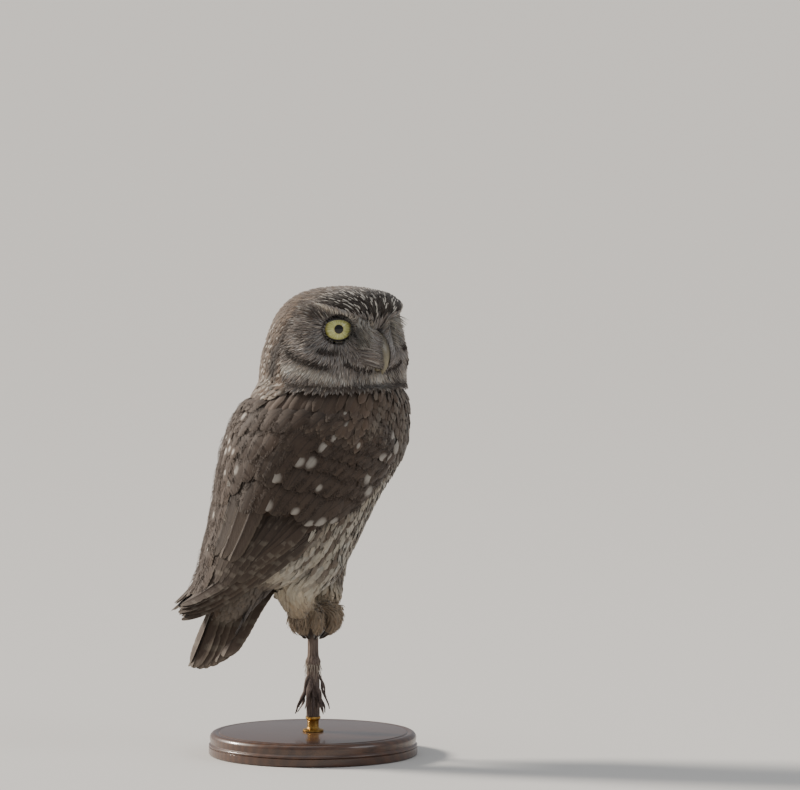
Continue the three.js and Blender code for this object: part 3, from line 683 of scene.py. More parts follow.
def lieOfHead(points, normals):  # away from the bill, and down behind
    local = toHead(points)
    behind = ease(-local[:, 0], -14, 16)[:, None]
    away = unit(points - billRoot) * (1 - 0.75 * behind) - np.array([0, 0, 1]) * 0.75 * behind
    return along(away, normals)


def lieOfFace(points, normals):  # round the eye, the disc's feathers point away from it
    local, aside, z, fromEye = headPlace(points)
    side = np.where(local[:, 1] < 0, -1, 1)[:, None]
    centres = np.where(side < 0, fromHead(eyeCentre(-1)), fromHead(eyeCentre(1)))
    radial = along(points - centres, normals)
    share = (1 - ease(fromEye, 15, 23)) * ease(browHeight(aside) - z, -1.5, 1.5)
    share = np.maximum(share, ease(-z, 6, 12) * ease(aside, 8, 16) * 0.7)
    chin = ease(-z, 12, 17) * (1 - ease(aside, 6, 16))
    share = (share * (1 - chin))[:, None]
    return along(mix(lieOfHead(points, normals), radial, share), normals)


def lieOfLegs(points, normals):
    way = pathsDistance(points, thighPaths + shankPaths)[2]
    share = ease(points[:, 2], gripZ + 30, gripZ + 46)[:, None]
    return along(mix(way, lieOfBody(points, normals), share), normals)


def lieOfFeet(points, normals):
    return along(pathsDistance(points, toePaths)[2], normals)


# Feathers as thin closed vanes. A ring is the cross-section: places across, -1 to 1, and height
rings = {
    "tuft": [(-1, 0), (0, 1), (1, 0)],
    "plume": [(-1, 0), (0, 1), (1, 0), (0, -0.5)],
    "vane": [(-1, 0), (-0.5, 0.8), (0, 1.2), (0.5, 0.8), (1, 0), (0, -0.5)],
    "quill": [(-1, 0), (-0.55, 0.7), (-0.1, 0.9), (0, 2.2), (0.1, 0.9), (0.55, 0.7), (1, 0), (0, -0.6)],
}


def vaneMesh(name, lines, ring, material):
    section = np.array(rings[ring], float)
    centre, side, out = lines["centre"], lines["side"], lines["out"]
    count, stops = centre.shape[:2]
    across = section[:, 0]
    other = lines.get("other", lines["half"])
    reach = across[None, None] * np.where(section[:, 0] > 0, lines["half"][..., None], other[..., None])
    bulge = lines["camber"] * np.abs(reach) * np.abs(across)
    height = section[:, 1] * np.asarray(lines["thick"])[..., None] - bulge
    points = centre[:, :, None] + reach[..., None] * side[:, :, None] + height[..., None] * out[:, :, None]
    sides = len(section)
    total = count * stops * sides
    start = np.arange(count)[:, None] * stops * sides
    walls = np.array(tubeFaces(stops, sides))
    quads = (start[:, :, None] + walls[None]).reshape(-1, 4)
    rootCap = (start + np.arange(sides - 1, -1, -1)).reshape(-1, sides)
    tipCap = (start + (stops - 1) * sides + np.arange(sides)).reshape(-1, sides)
    corners = np.concatenate([quads.ravel(), rootCap.ravel(), tipCap.ravel()])
    sizes = np.concatenate([np.full(len(quads), 4), np.full(2 * count, sides)])
    mesh = bpy.data.meshes.new(name)
    mesh.vertices.add(total)
    mesh.vertices.foreach_set("co", (points * mm).astype(np.float32).ravel())
    mesh.loops.add(len(corners))
    mesh.loops.foreach_set("vertex_index", corners.astype(np.int32))
    mesh.polygons.add(len(sizes))
    mesh.polygons.foreach_set("loop_start", np.concatenate([[0], sizes.cumsum()[:-1]]).astype(np.int32))
    mesh.update(calc_edges=True)
    mesh.materials.append(material)
    share = np.broadcast_to(lines["share"], (count, stops))
    acrossAll = np.broadcast_to(section[:, 0], (count, stops, sides)).ravel()
    alongAll = np.repeat(share.ravel(), sides)
    setMap(mesh, "featherMap", np.column_stack([acrossAll, alongAll])[corners])
    patch = lines["patch"]  # middle and size of each feather's place on the bake map
    middle = np.repeat(patch[:, :2], stops * sides, 0)
    spread = np.repeat(patch[:, 2:], stops * sides, 0)
    bakeMap = middle + spread * np.column_stack([acrossAll * 0.5, alongAll - 0.5])
    setMap(mesh, "OFBake", bakeMap[corners])
    for key in ("tone", "markTone", "spot", "lines", "size"):
        kind = "FLOAT_COLOR" if key in ("tone", "markTone") else "FLOAT_VECTOR"
        giveValues(mesh, key, kind, np.repeat(lines[key], stops * sides, 0))
    return placed(name, mesh)


def setMap(mesh, name, values):
    layer = mesh.uv_layers.new(name=name)
    layer.data.foreach_set("uv", values.astype(np.float32).ravel())


def featherPlan(count, tone=brown, mark=white, rim=0.0):  # plain markings, to be painted over
    return {
        "tone": np.tile(tone, (count, 1)),
        "markTone": np.tile(mark, (count, 1)),
        "spot": np.tile([0, 0.75, 0.0], (count, 1)),
        "lines": np.tile([0, 0, rim], (count, 1)),  # shaft streak's width, bars, rim's width
    }


def rowPatches(count, height, size, cells=None):  # places on the bake map for a row of feathers
    middle = (np.arange(count) + 0.5) / (cells or count)
    return np.column_stack([middle, np.full(count, height), np.full(count, size)])


def strands(centre, facing, width, outline, vary, thick, camber, share, length, random):
    # fine feathers along given centre lines, turned to face a way
    count = len(centre)
    ways = unit(np.gradient(centre, axis=1))
    out = along(np.broadcast_to(facing, ways.shape), ways)
    half = outline * width * random.uniform(*vary, (count, 1))
    return {
        "centre": centre, "side": np.cross(ways, out), "out": out, "root": centre[:, 0],
        "half": half, "thick": thick, "camber": camber, "share": share[None],
        "size": np.column_stack([length, np.full(count, width), random.random(count)]),
    }


def growCoat(roots, lieOf, shape, random):
    # centre lines that follow the coat shape from each root, rising out of the skin
    share = np.array(shape["share"], float)
    count = len(roots)
    place, normal = onCoat(roots)
    way = lieOf(place, normal)
    turn = np.radians(random.normal(0, shape.get("turn", 10), count))[:, None]
    way = unit(way * np.cos(turn) + np.cross(normal, way) * np.sin(turn))
    length = shape["length"] * (1 + 0.16 * random.uniform(-1, 1, count))
    centre, normals = [place], [normal]
    for low, high in zip(share[:-1], share[1:]):
        place, normal = onCoat(place + way * (length * (high - low))[:, None])
        fresh = lieOf(place, normal)
        way = along(way * 0.6 + fresh * 0.4, normal)
        centre.append(place)
        normals.append(normal)
    centre, normals = np.stack(centre, 1), np.stack(normals, 1)
    depth = np.asarray(shape["depth"])
    rise = (1 - (1 - share) ** 1.6)[None]
    lift = -(depth + 0.4)[..., None] * (1 - rise) + shape.get("lift", 0.2) * rise
    lift = lift + random.uniform(-0.25, 0.35, count)[:, None] * rise * shape.get("loose", 1)
    lift = lift + (shape.get("curl", 0) * share ** 3)[None] * random.uniform(0.3, 1.2, count)[:, None]
    centre = centre + normals * lift[..., None]
    ways = unit(np.gradient(centre, axis=1))
    roll = np.radians(random.normal(0, shape.get("roll", 8), count))[:, None, None]
    out = along(normals, ways)
    side = np.cross(ways, out)
    side, out = side * np.cos(roll) + out * np.sin(roll), out * np.cos(roll) - side * np.sin(roll)
    jag = 1 + shape.get("jag", 0.12) * random.uniform(-1, 1, (count, len(share))) * ease(share, 0.3, 0.6)
    half = np.broadcast_to(np.asarray(shape["half"], float), (count,))
    return {
        "centre": centre,
        "side": side,
        "out": out,
        "half": half[:, None] * np.array(shape["outline"])[None] * jag,
        "thick": np.full((count, len(share)), shape.get("thick", 0.18)) * np.array(shape["outline"]) ** 0.5,
        "camber": 0.25,
        "share": share[None],
        "size": np.column_stack([length, half, random.random(count)]),
        "root": centre[:, 0],
        "seen": centre[:, np.abs(share - 0.62).argmin()],
    }


# The finish of the feathers: barbs, shaft streaks, spots, bars and pale rims from each vane's own map
def coatMaterial(name, barbs=0.22, relief=0.5, roughness=0.78, fuzz=0.25, rootShade=0.38):
    shader = {"Roughness": roughness, "Specular IOR Level": 0.25}
    shader.update({"Sheen Weight": fuzz, "Sheen Roughness": 0.5})
    net = newMaterial(name)
    across, far, _ = net.parts(net.node("ShaderNodeUVMap", {"uv_map": "featherMap"}))
    length, half, luck = net.parts(net.attribute("size"))
    spotAcross, spotAlong, spotSize = net.parts(net.attribute("spot"))
    streak, bars, rim = net.parts(net.attribute("lines"))
    edge = net.size(across)
    barbPath = far * length - edge * half * 1.1  # the same all along one barb
    fine = net.noise(net.point(barbPath * 2.2, across * 1.2, luck * 60), 1.0, 3.0, 0.6)
    broad = net.noise(net.point(far * length * 0.25, across * 0.8, luck * 90), 1.0, 1.0)
    streakMask = net.ease(edge + (fine - 0.5) * 0.25 + far * streak * 0.4, streak + 0.06, streak - 0.1)
    streakMask = streakMask * net.ease(streak, 0.01, 0.05)
    spotX = (across - spotAcross) * half / net.most(spotSize, 0.01)
    spotY = (far - spotAlong) * length / net.most(spotSize * 1.35, 0.01)
    spotReach = spotX * spotX + spotY * spotY + (fine - 0.5) * 0.6 + (broad - 0.5) * 0.7
    spotMask = net.ease(spotReach, 2.3, 0.0) * 0.74
    band = net.wave((far + edge * 0.02) * bars * 6.283 + luck * 1.2 + (fine - 0.5) * 1.0)
    barMask = net.ease(band, 0.5, 0.95) * net.ease(bars, 0.4, 0.6) * net.ease(edge, 0.2, 0.55)
    marked = net.most(net.most(streakMask, spotMask), barMask * 0.6)
    tone = net.blend(marked, net.attribute("tone", "Color"), net.attribute("markTone", "Color"))
    rimMask = net.most(net.ease(edge, 0.7, 1.0), net.ease(far, 0.88, 1.0)) * rim
    tone = net.blend(rimMask, tone, cream)
    shaft = net.ease(edge, 0.09, 0.03) * net.ease(half, 2.6, 4.0) * (1 - marked) * 0.35
    light = 1 + (fine - 0.5) * (2 * barbs) + (broad - 0.5) * 0.3 - shaft
    # painted shade: each feather is darker towards its root, where its neighbours cover it
    light = light * (1 - rootShade + rootShade * net.ease(far, 0.1, 0.6))
    bump = bumped(net, fine, relief, 0.25 * mm)
    return feed(net, {**shader, "Base Color": net.scaled(tone, light), "Normal": bump})


softCoat = coatMaterial("softFeathers", barbs=0.16, rootShade=0.24)
hairCoat = coatMaterial("faceBristles", barbs=0.1, relief=0.2, fuzz=0.3, rootShade=0.22)
vaneCoat = coatMaterial("vanes", barbs=0.24, relief=0.7, roughness=0.66, fuzz=0.15, rootShade=0.2)


def patchNoise(x, y, random):  # smooth values from 0 to 1, a cell apart
    table = random.random((64, 64))
    i, j = np.floor(x).astype(int), np.floor(y).astype(int)
    a, b = ease(x - i, 0, 1), ease(y - j, 0, 1)
    low = mix(table[i % 64, j % 64], table[(i + 1) % 64, j % 64], a)
    return mix(low, mix(table[i % 64, (j + 1) % 64], table[(i + 1) % 64, (j + 1) % 64], a), b)


def tint(plan, share, tone):
    share = np.clip(np.asarray(share, float), 0, 1)[:, None]
    plan["tone"] = mix(plan["tone"], np.asarray(tone)[None], share)


def setMark(plan, share, tone):
    share = np.clip(np.asarray(share, float), 0, 1)[:, None]
    plan["markTone"] = mix(plan["markTone"], np.asarray(tone)[None], share)


def vary(plan, random, amount):  # small differences between neighbours
    count = len(plan["tone"])
    light = 1 + amount * random.normal(0, 1, count)[:, None]
    warm = 1 + amount * 0.3 * random.normal(0, 1, count)[:, None] * np.array([[1, 0, -1]])
    plan["tone"] = np.clip(plan["tone"] * light * warm, 0.004, 1)


def lineDistance(x, y, points):  # distance to a line through a few places
    best = np.full(len(x), 1e9)
    for (ax, ay), (bx, by) in zip(points[:-1], points[1:]):
        dx, dy = bx - ax, by - ay
        k = np.clip(((x - ax) * dx + (y - ay) * dy) / (dx * dx + dy * dy), 0, 1)
        best = np.minimum(best, np.hypot(x - ax - k * dx, y - ay - k * dy))
    return best


patchSize = 0.003


def bakePatches(roots, kind):  # each root's place on an unwrap of the skin's shape
    if kind == "head":
        local = toHead(roots)
        turn = np.arctan2(local[:, 1], local[:, 0])
        polar = np.arctan2(np.hypot(local[:, 0], local[:, 1]), local[:, 2])
        u, v = turn / (2 * math.pi) + 0.5, polar / math.pi
    elif kind == "body":
        t, e, y = toBody(roots)
        u, v = np.arctan2(y, e - 2) / (2 * math.pi) + 0.5, (t + 45) / 190
    elif kind == "legs":
        paths = thighPaths + shankPaths
        _, which, _ = pathsDistance(roots, paths)
        middle = np.array([np.mean(path, axis=0) for path in paths])[which]
        turn = np.arctan2(roots[:, 1] - middle[:, 1], roots[:, 0] - middle[:, 0])
        u = (turn / (2 * math.pi) + 0.5 + which % 2) / 2
        v = (roots[:, 2] - gripZ) / 60
    else:  # toes
        _, which, _ = pathsDistance(roots, toePaths)
        middle = np.array([np.mean(path, axis=0) for path in toePaths])[which]
        turn = np.arctan2(roots[:, 2] - middle[:, 2], np.hypot(*(roots[:, :2] - middle[:, :2]).T))
        u = (turn / math.pi + 0.5 + which) / 8
        v = np.arctan2(roots[:, 1], roots[:, 0]) / (2 * math.pi) + 0.5
    u, v = np.clip([u, v], patchSize, 1 - patchSize)
    return np.column_stack([u, v, np.full(len(u), patchSize)])


def coatPiece(name, lines, plan, ring, kind):
    lines = {**lines, **plan, "patch": bakePatches(lines["root"], kind)}
    material = hairCoat if ring == "tuft" else softCoat
    finishPiece(vaneMesh(name, lines, ring, material))


tuftShape = {"share": [0, 0.3, 0.6, 0.85, 1], "outline": [0.7, 1, 0.85, 0.5, 0.06]}
plumeShape = {"share": [0, 0.2, 0.42, 0.64, 0.8, 0.92, 1], "outline": [0.5, 0.85, 1, 0.95, 0.78, 0.48, 0.08]}

# Crown, nape and the sides of the head: small brown feathers, pale-streaked in front, spotted behind
crown = {"spacing": 1.3, "length": [5.6, 9.5], "half": [0.95, 2.0], "depth": 2.4}
# a dark band round the disc's edge, partly the feathers' own colour and partly painted shade
darkBand = [(30, 18.4), (40, 15.6), (48, 10.5), (54.5, 3), (60, -6), (63, -16)]  # aside and height


def makeCrownCoat():
    random = default_rng(21)
    roots = scatter(coatRegions["crown"], crown["spacing"], 3)
    local, _, z, _ = headPlace(roots)
    count = len(roots)
    size = np.maximum(ease(-local[:, 0], -30, 22) * 0.75, ease(-z, 6, 24))
    shape = dict(plumeShape, length=mix(*crown["length"], size), half=mix(*crown["half"], size))
    shape.update(depth=mix(1.2, crown["depth"], size), jag=0.25, lift=0.05)
    lines = growCoat(roots, lieOfHead, shape, random)
    plan = featherPlan(count, mark=sand * 0.9)
    local, aside, z, _ = headPlace(lines["seen"])
    back = ease(-local[:, 0], -30, 22)
    cloud = patchNoise(aside / 4, z / 4 + local[:, 1] / 7, random)
    tint(plan, 0.2 + 0.7 * cloud, umber)
    forehead = ease(local[:, 0], 4, 22) * ease(z, 4, 9)
    tint(plan, forehead * 0.95, umber * 0.34)
    # the dark band round the disc: own colour and painted shade
    band = bump(lineDistance(aside, z, darkBand), 4.6)
    tint(plan, band * 0.95, umber * 0.36)
    setMark(plan, forehead, white * 0.6)
    streaked = random.random(count) < mix(0.5, 0.26, forehead)
    plan["lines"][:, 0] = mix(0.24, 0.13, back) * streaked * mix(1, 2.6, forehead) * (1 - 0.9 * band)
    plan["lines"][:, 2] = 0.1 * (1 - band)
    spotted = (random.random(count) < mix(0.06, 0.36, size)) & (back > 0.3) & (z < 10) & (band < 0.5)
    plan["spot"][spotted, 2] = mix(0.5, 1.35, size[spotted]) * random.uniform(0.45, 1.1, spotted.sum())
    plan["lines"][spotted, 0] = 0
    setMark(plan, spotted * 0.8, white * 0.62)
    collar = ease(-z, 16, 22) * ease(aside, 44, 60) * ease(104 - aside, 16, 34)
    pale = collar * (random.random(count) < 0.3)
    tint(plan, pale * 0.45, white * 0.4)
    vary(plan, random, 0.12)
    coatPiece("crownCoat", lines, plan, "plume", "head")


# The facial disc: fine bristly tufts that point away from the eyes, pale brows and a dark lower rim
face = {"spacing": 0.66, "depth": 1.1}
lowerRim = [(52, -5.6), (45, -9.4), (37, -11.6), (29, -13.8)]
underEye = [(34, -4.8), (29, -5.6), (24, -5.2)]
moustache = [(58, -15), (48, -14.5), (40, -16.2), (33, -18), (20, -19.6), (8, -20)]
# painted shadow: a dark line under the chin, where the head's ruff overhangs the breast
chinShadowLine = [(60, -21.5), (40, -22.8), (24, -24), (0, -24.5)]
gapeLine = [(4, -16.3), (10, -15.3), (16, -13.4), (20.5, -11.4)]
cheekBand = [(48, 1), (44, -3.5), (36, -7), (28, -9.6), (22, -11)]


def faceTones(plan, points, random):
    _, aside, z, fromEye = headPlace(points)
    count = len(aside)

    def line(points, width):
        return bump(lineDistance(aside, z, points), width)

    plan["tone"][:] = grey * 0.86
    cloud = patchNoise(aside / 3, z / 3, random)
    tint(plan, 0.25 * cloud + ease(fromEye, 12, 22) * 0.22, brown)
    tint(plan, bump(fromEye - 9.6, 2.2) * 0.5, grey * 0.95)
    behind = ease(aside, 32, 46) * bump(z - 3, 10)
    tint(plan, behind * 0.6, umber * 0.9)
    tint(plan, line(cheekBand, 2.4) * 0.7, grey * 1.05)
    tint(plan, line(underEye, 1.7) * 0.7, umber * 0.5)
    tint(plan, line(lowerRim, 2.2) * 0.75, umber * 0.45)
    tint(plan, line(moustache, 2.6) * (0.3 + 0.5 * ease(aside, 18, 34)), white * 0.6)
    # painted shadow under the chin
    tint(plan, line(chinShadowLine, 2.2) * 0.8, umber * 0.7)
    tint(plan, bump(aside, 7) * bump(z + 20, 4) * 0.8, white * 0.7)
    between = ease(browHeight(aside) - z, -1, 1.5) * bump(aside - 8, 4.5) * bump(z - 6, 5)
    tint(plan, between * 0.9, white * 0.6)
    tint(plan, bump(aside - 9, 6) * bump(z + 5, 6) * 0.6, grey * 0.9)
    above = ease(z, eye["up"] + 4.5, eye["up"] + 7) * (z < browHeight(aside) - 0.5) * ease(aside, 10, 16)
    tint(plan, above * 0.65, umber * 0.8)
    brow = bump(z - browHeight(aside), 1.0) * ease(aside, 2, 7) * (1 - ease(aside, 33, 38))
    tint(plan, brow * 0.95, mix(white, buff, 0.3) * 0.75)
    corner = line([(16, 4.8), (12, 2.4)], 2.1)
    tint(plan, corner, soot * 0.5)
    gape = line(gapeLine, 0.6)
    tint(plan, gape, soot * 0.5)
    marks = np.maximum(np.maximum(brow, corner), np.maximum(gape, line(lowerRim, 2.4)))
    tint(plan, (random.random(count) < 0.22 * (1 - marks)) * 0.4, umber)
    tint(plan, (random.random(count) < 0.14 * (1 - marks)) * 0.3, white * 0.8)


def makeFaceCoat():
    for side, word in bothSides:
        random = default_rng(40 + side)
        local = toHead(coatPoints)
        half = coatRegions["face"] & (local[:, 1] * side > -0.3)
        roots = scatter(half, face["spacing"], 5 + side)
        roots = roots[headPlace(roots)[3] > 7.9]
        _, aside, z, fromEye = headPlace(roots)
        count = len(roots)
        shape = dict(tuftShape, curl=0.4, turn=8, thick=0.14, lift=0.05)
        edge = ease(fromEye, 13, 24)
        brow = bump(z - browHeight(aside), 1.1) * ease(aside, 2, 7) * (1 - ease(aside, 33, 40))
        ridge = bump(aside - 8.5, 4.5) * bump(z - 6, 6.5)
        chin = ease(-z, 17, 21)
        shape["length"] = mix(3.4, 5.8, edge) * (1 + 0.2 * brow + 0.5 * ridge - 0.35 * chin)
        shape["half"] = mix(0.28, 0.5, edge) + 0.1 * brow
        shape["depth"] = mix(0.7, face["depth"], edge)
        lines = growCoat(roots, lieOfFace, shape, random)
        raised = (ridge * random.uniform(1.2, 3.4, count))[:, None] * lines["share"] ** 1.4
        lines["centre"] = lines["centre"] + raised[..., None] * onCoat(roots)[1][:, None]
        plan = featherPlan(count, rim=0.05)
        faceTones(plan, lines["seen"], random)
        vary(plan, random, 0.12)
        coatPiece(f"faceCoat{word}", lines, plan, "tuft", "head")


def onHead(aside, side, z):
    turn = aside / head["radius"]
    return onCoat(fromHead(np.column_stack([np.cos(turn) * 38, side * np.sin(turn) * 38, z])))


# Dark lines of the face, laid over the bristles: each with its spread and its number of tufts
faceLines = [(gapeLine, 0.12, 150), (underEye, 0.55, 60), (lowerRim, 0.6, 130)]


def makeFaceLines():
    for side, word in bothSides:
        random = default_rng(61 + side)
        places = []
        for points, width, count in faceLines:
            points = np.array(points, float)
            steps = np.concatenate([[0], np.hypot(*np.diff(points, axis=0).T).cumsum()])
            at = random.uniform(0, steps[-1], count)
            middle = np.column_stack([np.interp(at, steps, column) for column in points.T])
            places.append(middle + random.normal(0, width, (count, 2)))
        aside, z = np.concatenate(places).T
        roots, normal = onHead(aside, side, z)
        roots = onCoat(roots - lieOfFace(roots, normal) * 1.5)[0]
        shape = dict(tuftShape, length=2.7, half=0.26, depth=0.1, turn=9, thick=0.12, lift=0.5)
        lines = growCoat(roots, lieOfFace, shape, random)
        plan = featherPlan(len(roots), umber * 0.55)
        vary(plan, random, 0.25)
        coatPiece(f"faceLines{word}", lines, plan, "tuft", "head")


# Bristles: fine dark hairs of the chin and the gape, and a fan that stands up between eye and bill
bristle = {"spacing": 1.5, "length": 8.5, "half": 0.1}
fan = {"spacing": 0.5, "length": 7.8, "half": 0.2, "aside": 10, "height": 6}


def makeBristles():
    random = default_rng(55)
    _, aside, z, fromEye = headPlace(coatPoints)
    near = (bump(aside - 10, 6) * bump(z + 15, 4) > 0.3) & (fromEye > 9)
    roots = scatter(near & coatRegions["face"], bristle["spacing"], 17)
    shape = dict(tuftShape, length=bristle["length"], half=bristle["half"], depth=0.4, turn=14, thick=0.1)
    lines = growCoat(roots, lieOfFace, shape, random)
    rise = random.uniform(0.8, 3, len(roots))[:, None] * lines["share"] ** 1.3
    lines["centre"] = lines["centre"] + rise[..., None] * onCoat(roots)[1][:, None]
    plan = featherPlan(len(roots), umber * 0.5)
    coatPiece("faceBristles", lines, plan, "tuft", "head")


def makeFans():
    share = np.linspace(0, 1, 7)
    k = share[None, :, None]
    for side, word in bothSides:
        random = default_rng(59 + side)
        local, aside, z, _ = headPlace(coatPoints)
        near = (np.abs(aside - fan["aside"]) < 3.4) & (local[:, 1] * side > 0)
        near &= np.abs(z - fan["height"]) < 8.5
        roots = scatter(near & coatRegions["face"], fan["spacing"], 19 + side)
        _, aside, z, _ = headPlace(roots)
        count = len(roots)
        _, normal = onCoat(roots)
        look = unit(fromHead(eyeAxes(side)[1]) - fromHead([0, 0, 0]))
        stand = unit(normal * 0.5 + look + random.normal(0, 0.1, (count, 3)))
        drop = along(fromHead([0, 0, -1.0]) - fromHead([0, 0, 0]) + 0.6 * lieOfFace(roots, normal), stand)
        length = fan["length"] * mix(0.75, 1, bump(z - fan["height"], 7)) * random.uniform(0.7, 1.1, count)
        step = length[:, None, None] * k
        centre = (roots - 0.6 * normal)[:, None] + stand[:, None] * step + drop[:, None] * step * k * 0.42
        outline = np.interp(share, [0, 0.3, 0.7, 1], [0.8, 1, 0.75, 0.1])
        facing = (normal - drop)[:, None]
        lines = strands(centre, facing, fan["half"], outline, (0.7, 1.25), 0.1, 0.2, share, length, random)
        plan = featherPlan(count, white * 0.5)
        tint(plan, bump(aside - 14.5, 2.4) * (z < 9) * 0.9, umber * 0.5)
        tint(plan, (random.random(count) < 0.25) * 0.7, umber)
        vary(plan, random, 0.14)
        coatPiece(f"eyeFan{word}", lines, plan, "tuft", "head")


# Bill outline, from its root to its tip: forward, height, half width and depth in the head's frame
bill = {"sections": [(28, 3, 3.2, 4.0), (34.4, 1.6, 4.4, 4.8), (38, -3, 4.4, 5.0), (39.5, -8, 3.7, 4.4),
                     (39.6, -12.6, 2.5, 3.2), (38.7, -15.6, 1.25, 1.7), (37.8, -17.6, 0.25, 0.3)],
        "lower": [(27, 0, -13), (32, 0, -14.4), (35.6, 0, -15)]}
billRows = smoothRows([(k, *section) for k, section in enumerate(bill["sections"])])


# Lores: bristly plumes that sweep from the bridge over the bill's sides and leave its ridge and tip bare
lores = {"count": 780, "half": 0.2, "aside": [12.5, 9.5], "height": [10, -10.5], "along": [0.5, 4.2]}


def makeLores():
    share = np.linspace(0, 1, 7)
    k = share[None, :, None]
    for side, word in bothSides:
        random = default_rng(57 + side)
        count = lores["count"]
        v = random.random(count)
        aside = mix(*lores["aside"], v) + random.normal(0, 2.2, count)
        height = mix(*lores["height"], v) + random.normal(0, 1.1, count)
        roots, normal = onHead(aside, side, height)
        u = mix(*lores["along"], v) + random.normal(0, 0.22, count)
        x, z, half, deep = billRows(u)
        before, after = billRows(u - 0.05), billRows(u + 0.05)
        ways = unit(np.column_stack([after[0] - before[0], 0 * u, after[1] - before[1]]))
        outward = np.column_stack([-ways[:, 2], ways[:, 1], ways[:, 0]])
        roundTurn = random.uniform(mix(0.02, 0.55, ease(v, 0.25, 0.6)), 1.25, count)
        end = np.column_stack([x, side * half * np.sin(roundTurn) * 1.1, z])
        end = end + outward * (0.62 * np.cos(roundTurn) * deep)[:, None] + outward * 0.35
        end = fromHead(end + ways * random.uniform(-0.4, 1.2, count)[:, None])
        bend = (roots + end) / 2 + normal * random.uniform(1.0, 2.2, count)[:, None]
        start = roots - normal * 0.5
        centre = (1 - k) ** 2 * start[:, None] + 2 * k * (1 - k) * bend[:, None] + k * k * end[:, None]
        outline = np.interp(share, [0, 0.3, 0.7, 1], [0.8, 1, 0.7, 0.1])
        length = np.linalg.norm(np.diff(centre, axis=1), axis=-1).sum(1)
        facing = centre - fromHead([20, 0, -2])
        lines = strands(centre, facing, lores["half"], outline, (0.6, 1.3), 0.12, 0.2, share, length, random)
        plan = featherPlan(count, grey * 0.95)
        tint(plan, ease(v, 0.4, 0.9) * 0.5, brown * 1.1)
        tint(plan, (random.random(count) < 0.2) * 0.7, umber * 0.9)
        tint(plan, (random.random(count) < 0.2) * 0.5, white * 0.8)
        vary(plan, random, 0.14)
        coatPiece(f"lores{word}", lines, plan, "tuft", "head")


# Back: the mantle between the wings, the rump and the coverts over the tail
back = {"spacing": 2.5, "length": 13, "half": 3.1, "depth": 3}
shawl = {"length": 5, "raise": 1.6}  # how much longer and further out the plumes round the neck are


def makeBackCoat():
    random = default_rng(61)
    roots = scatter(coatRegions["back"], back["spacing"], 7)
    t, psi, _, _ = placeOnSheet(roots)
    count = len(roots)
    high, neck = ease(t, 85, 118), bump(t - 101, 13)
    length = mix(back["length"], 9.5, high) + shawl["length"] * neck
    shape = dict(plumeShape, length=length, half=mix(back["half"], 2.2, high), depth=back["depth"])
    shape.update(jag=0.2, turn=9, lift=0.05 + shawl["raise"] * neck[:, None])
    lines = growCoat(roots, lieOfBody, shape, random)
    plan = featherPlan(count, mark=white * 0.5, rim=0.07)
    cloud = patchNoise(psi / 9, t / 8, random)
    tint(plan, 0.35 + 0.5 * cloud, umber)
    spotted = random.random(count) < 0.08
    plan["spot"][spotted, 2] = random.uniform(0.8, 1.5, spotted.sum())
    vary(plan, random, 0.09)
    coatPiece("backCoat", lines, plan, "vane", "body")


# Front: throat, brown-streaked breast, pale belly and flanks, white under the tail, with painted shade along
# the wing's lower edge and under the tail
front = {"spacing": 1.75, "length": 13, "half": 1.7, "depth": 3.2}
streak = {"period": 8.6, "wander": 5, "slant": 0.27, "round": 41, "seed": 173}


def frontTones(plan, points, random):
    t, psi, side, _ = placeOnSheet(points)
    _, e, _ = toBody(points)
    count = len(points)
    across = np.radians(psi) * streak["round"] * side - streak["slant"] * t * side
    wide = default_rng(streak["seed"])
    wander = streak["wander"] * patchNoise(across / 11, t / 34, wide)
    phase = across * 2 * math.pi / streak["period"] + wander
    broken = patchNoise(across / 3.6, t / 15, wide)
    fine = patchNoise(across / 1.5, t / 11, random)
    field = 0.5 + 0.29 * np.sin(phase) + 0.36 * (broken - 0.5) + 0.14 * (fine - 0.5)
    plan["tone"][:] = white * 0.47
    cloud = patchNoise(across / 7, t / 12, random)
    tint(plan, 0.3 + 0.5 * cloud, cream * 0.48)
    tint(plan, ease(20 - t, 0, 20) * 0.6, cream * 0.72)
    high = ease(t, 50, 92)
    dark = ease(field, mix(0.48, 0.3, high), mix(0.68, 0.48, high)) * ease(t, 2, 22)
    tint(plan, dark * 0.85, brown * 0.66)
    # painted shade: a brown band along the flank just under the wing's lower edge
    tint(plan, bump(psi - wingLower(t)[0], 7) * ease(t, -4, 30) * 0.55, brown * 0.6)
    breast = ease(t, 62, 90)
    tint(plan, breast * 0.8, brown * 0.55)
    plan["markTone"][:] = white * 0.6
    spotted = (breast > 0.2) & (random.random(count) < 0.14 - 0.11 * ease(t, 88, 98))
    plan["spot"][spotted, 2] = random.uniform(1.0, 1.8, spotted.sum())
    plan["spot"][spotted, 1] = 0.78
    # painted shade: brown under the wing's lower end and under the tail, over feathers that are pale
    below = np.maximum((1 - ease(psi, 84, 92)) * ease(16 - t, 0, 5), ease(5 - e, 0, 6) * ease(9 - t, 0, 8))
    tint(plan, below * 0.9, mix(brown, grey, 0.2) * 0.62)
    return high


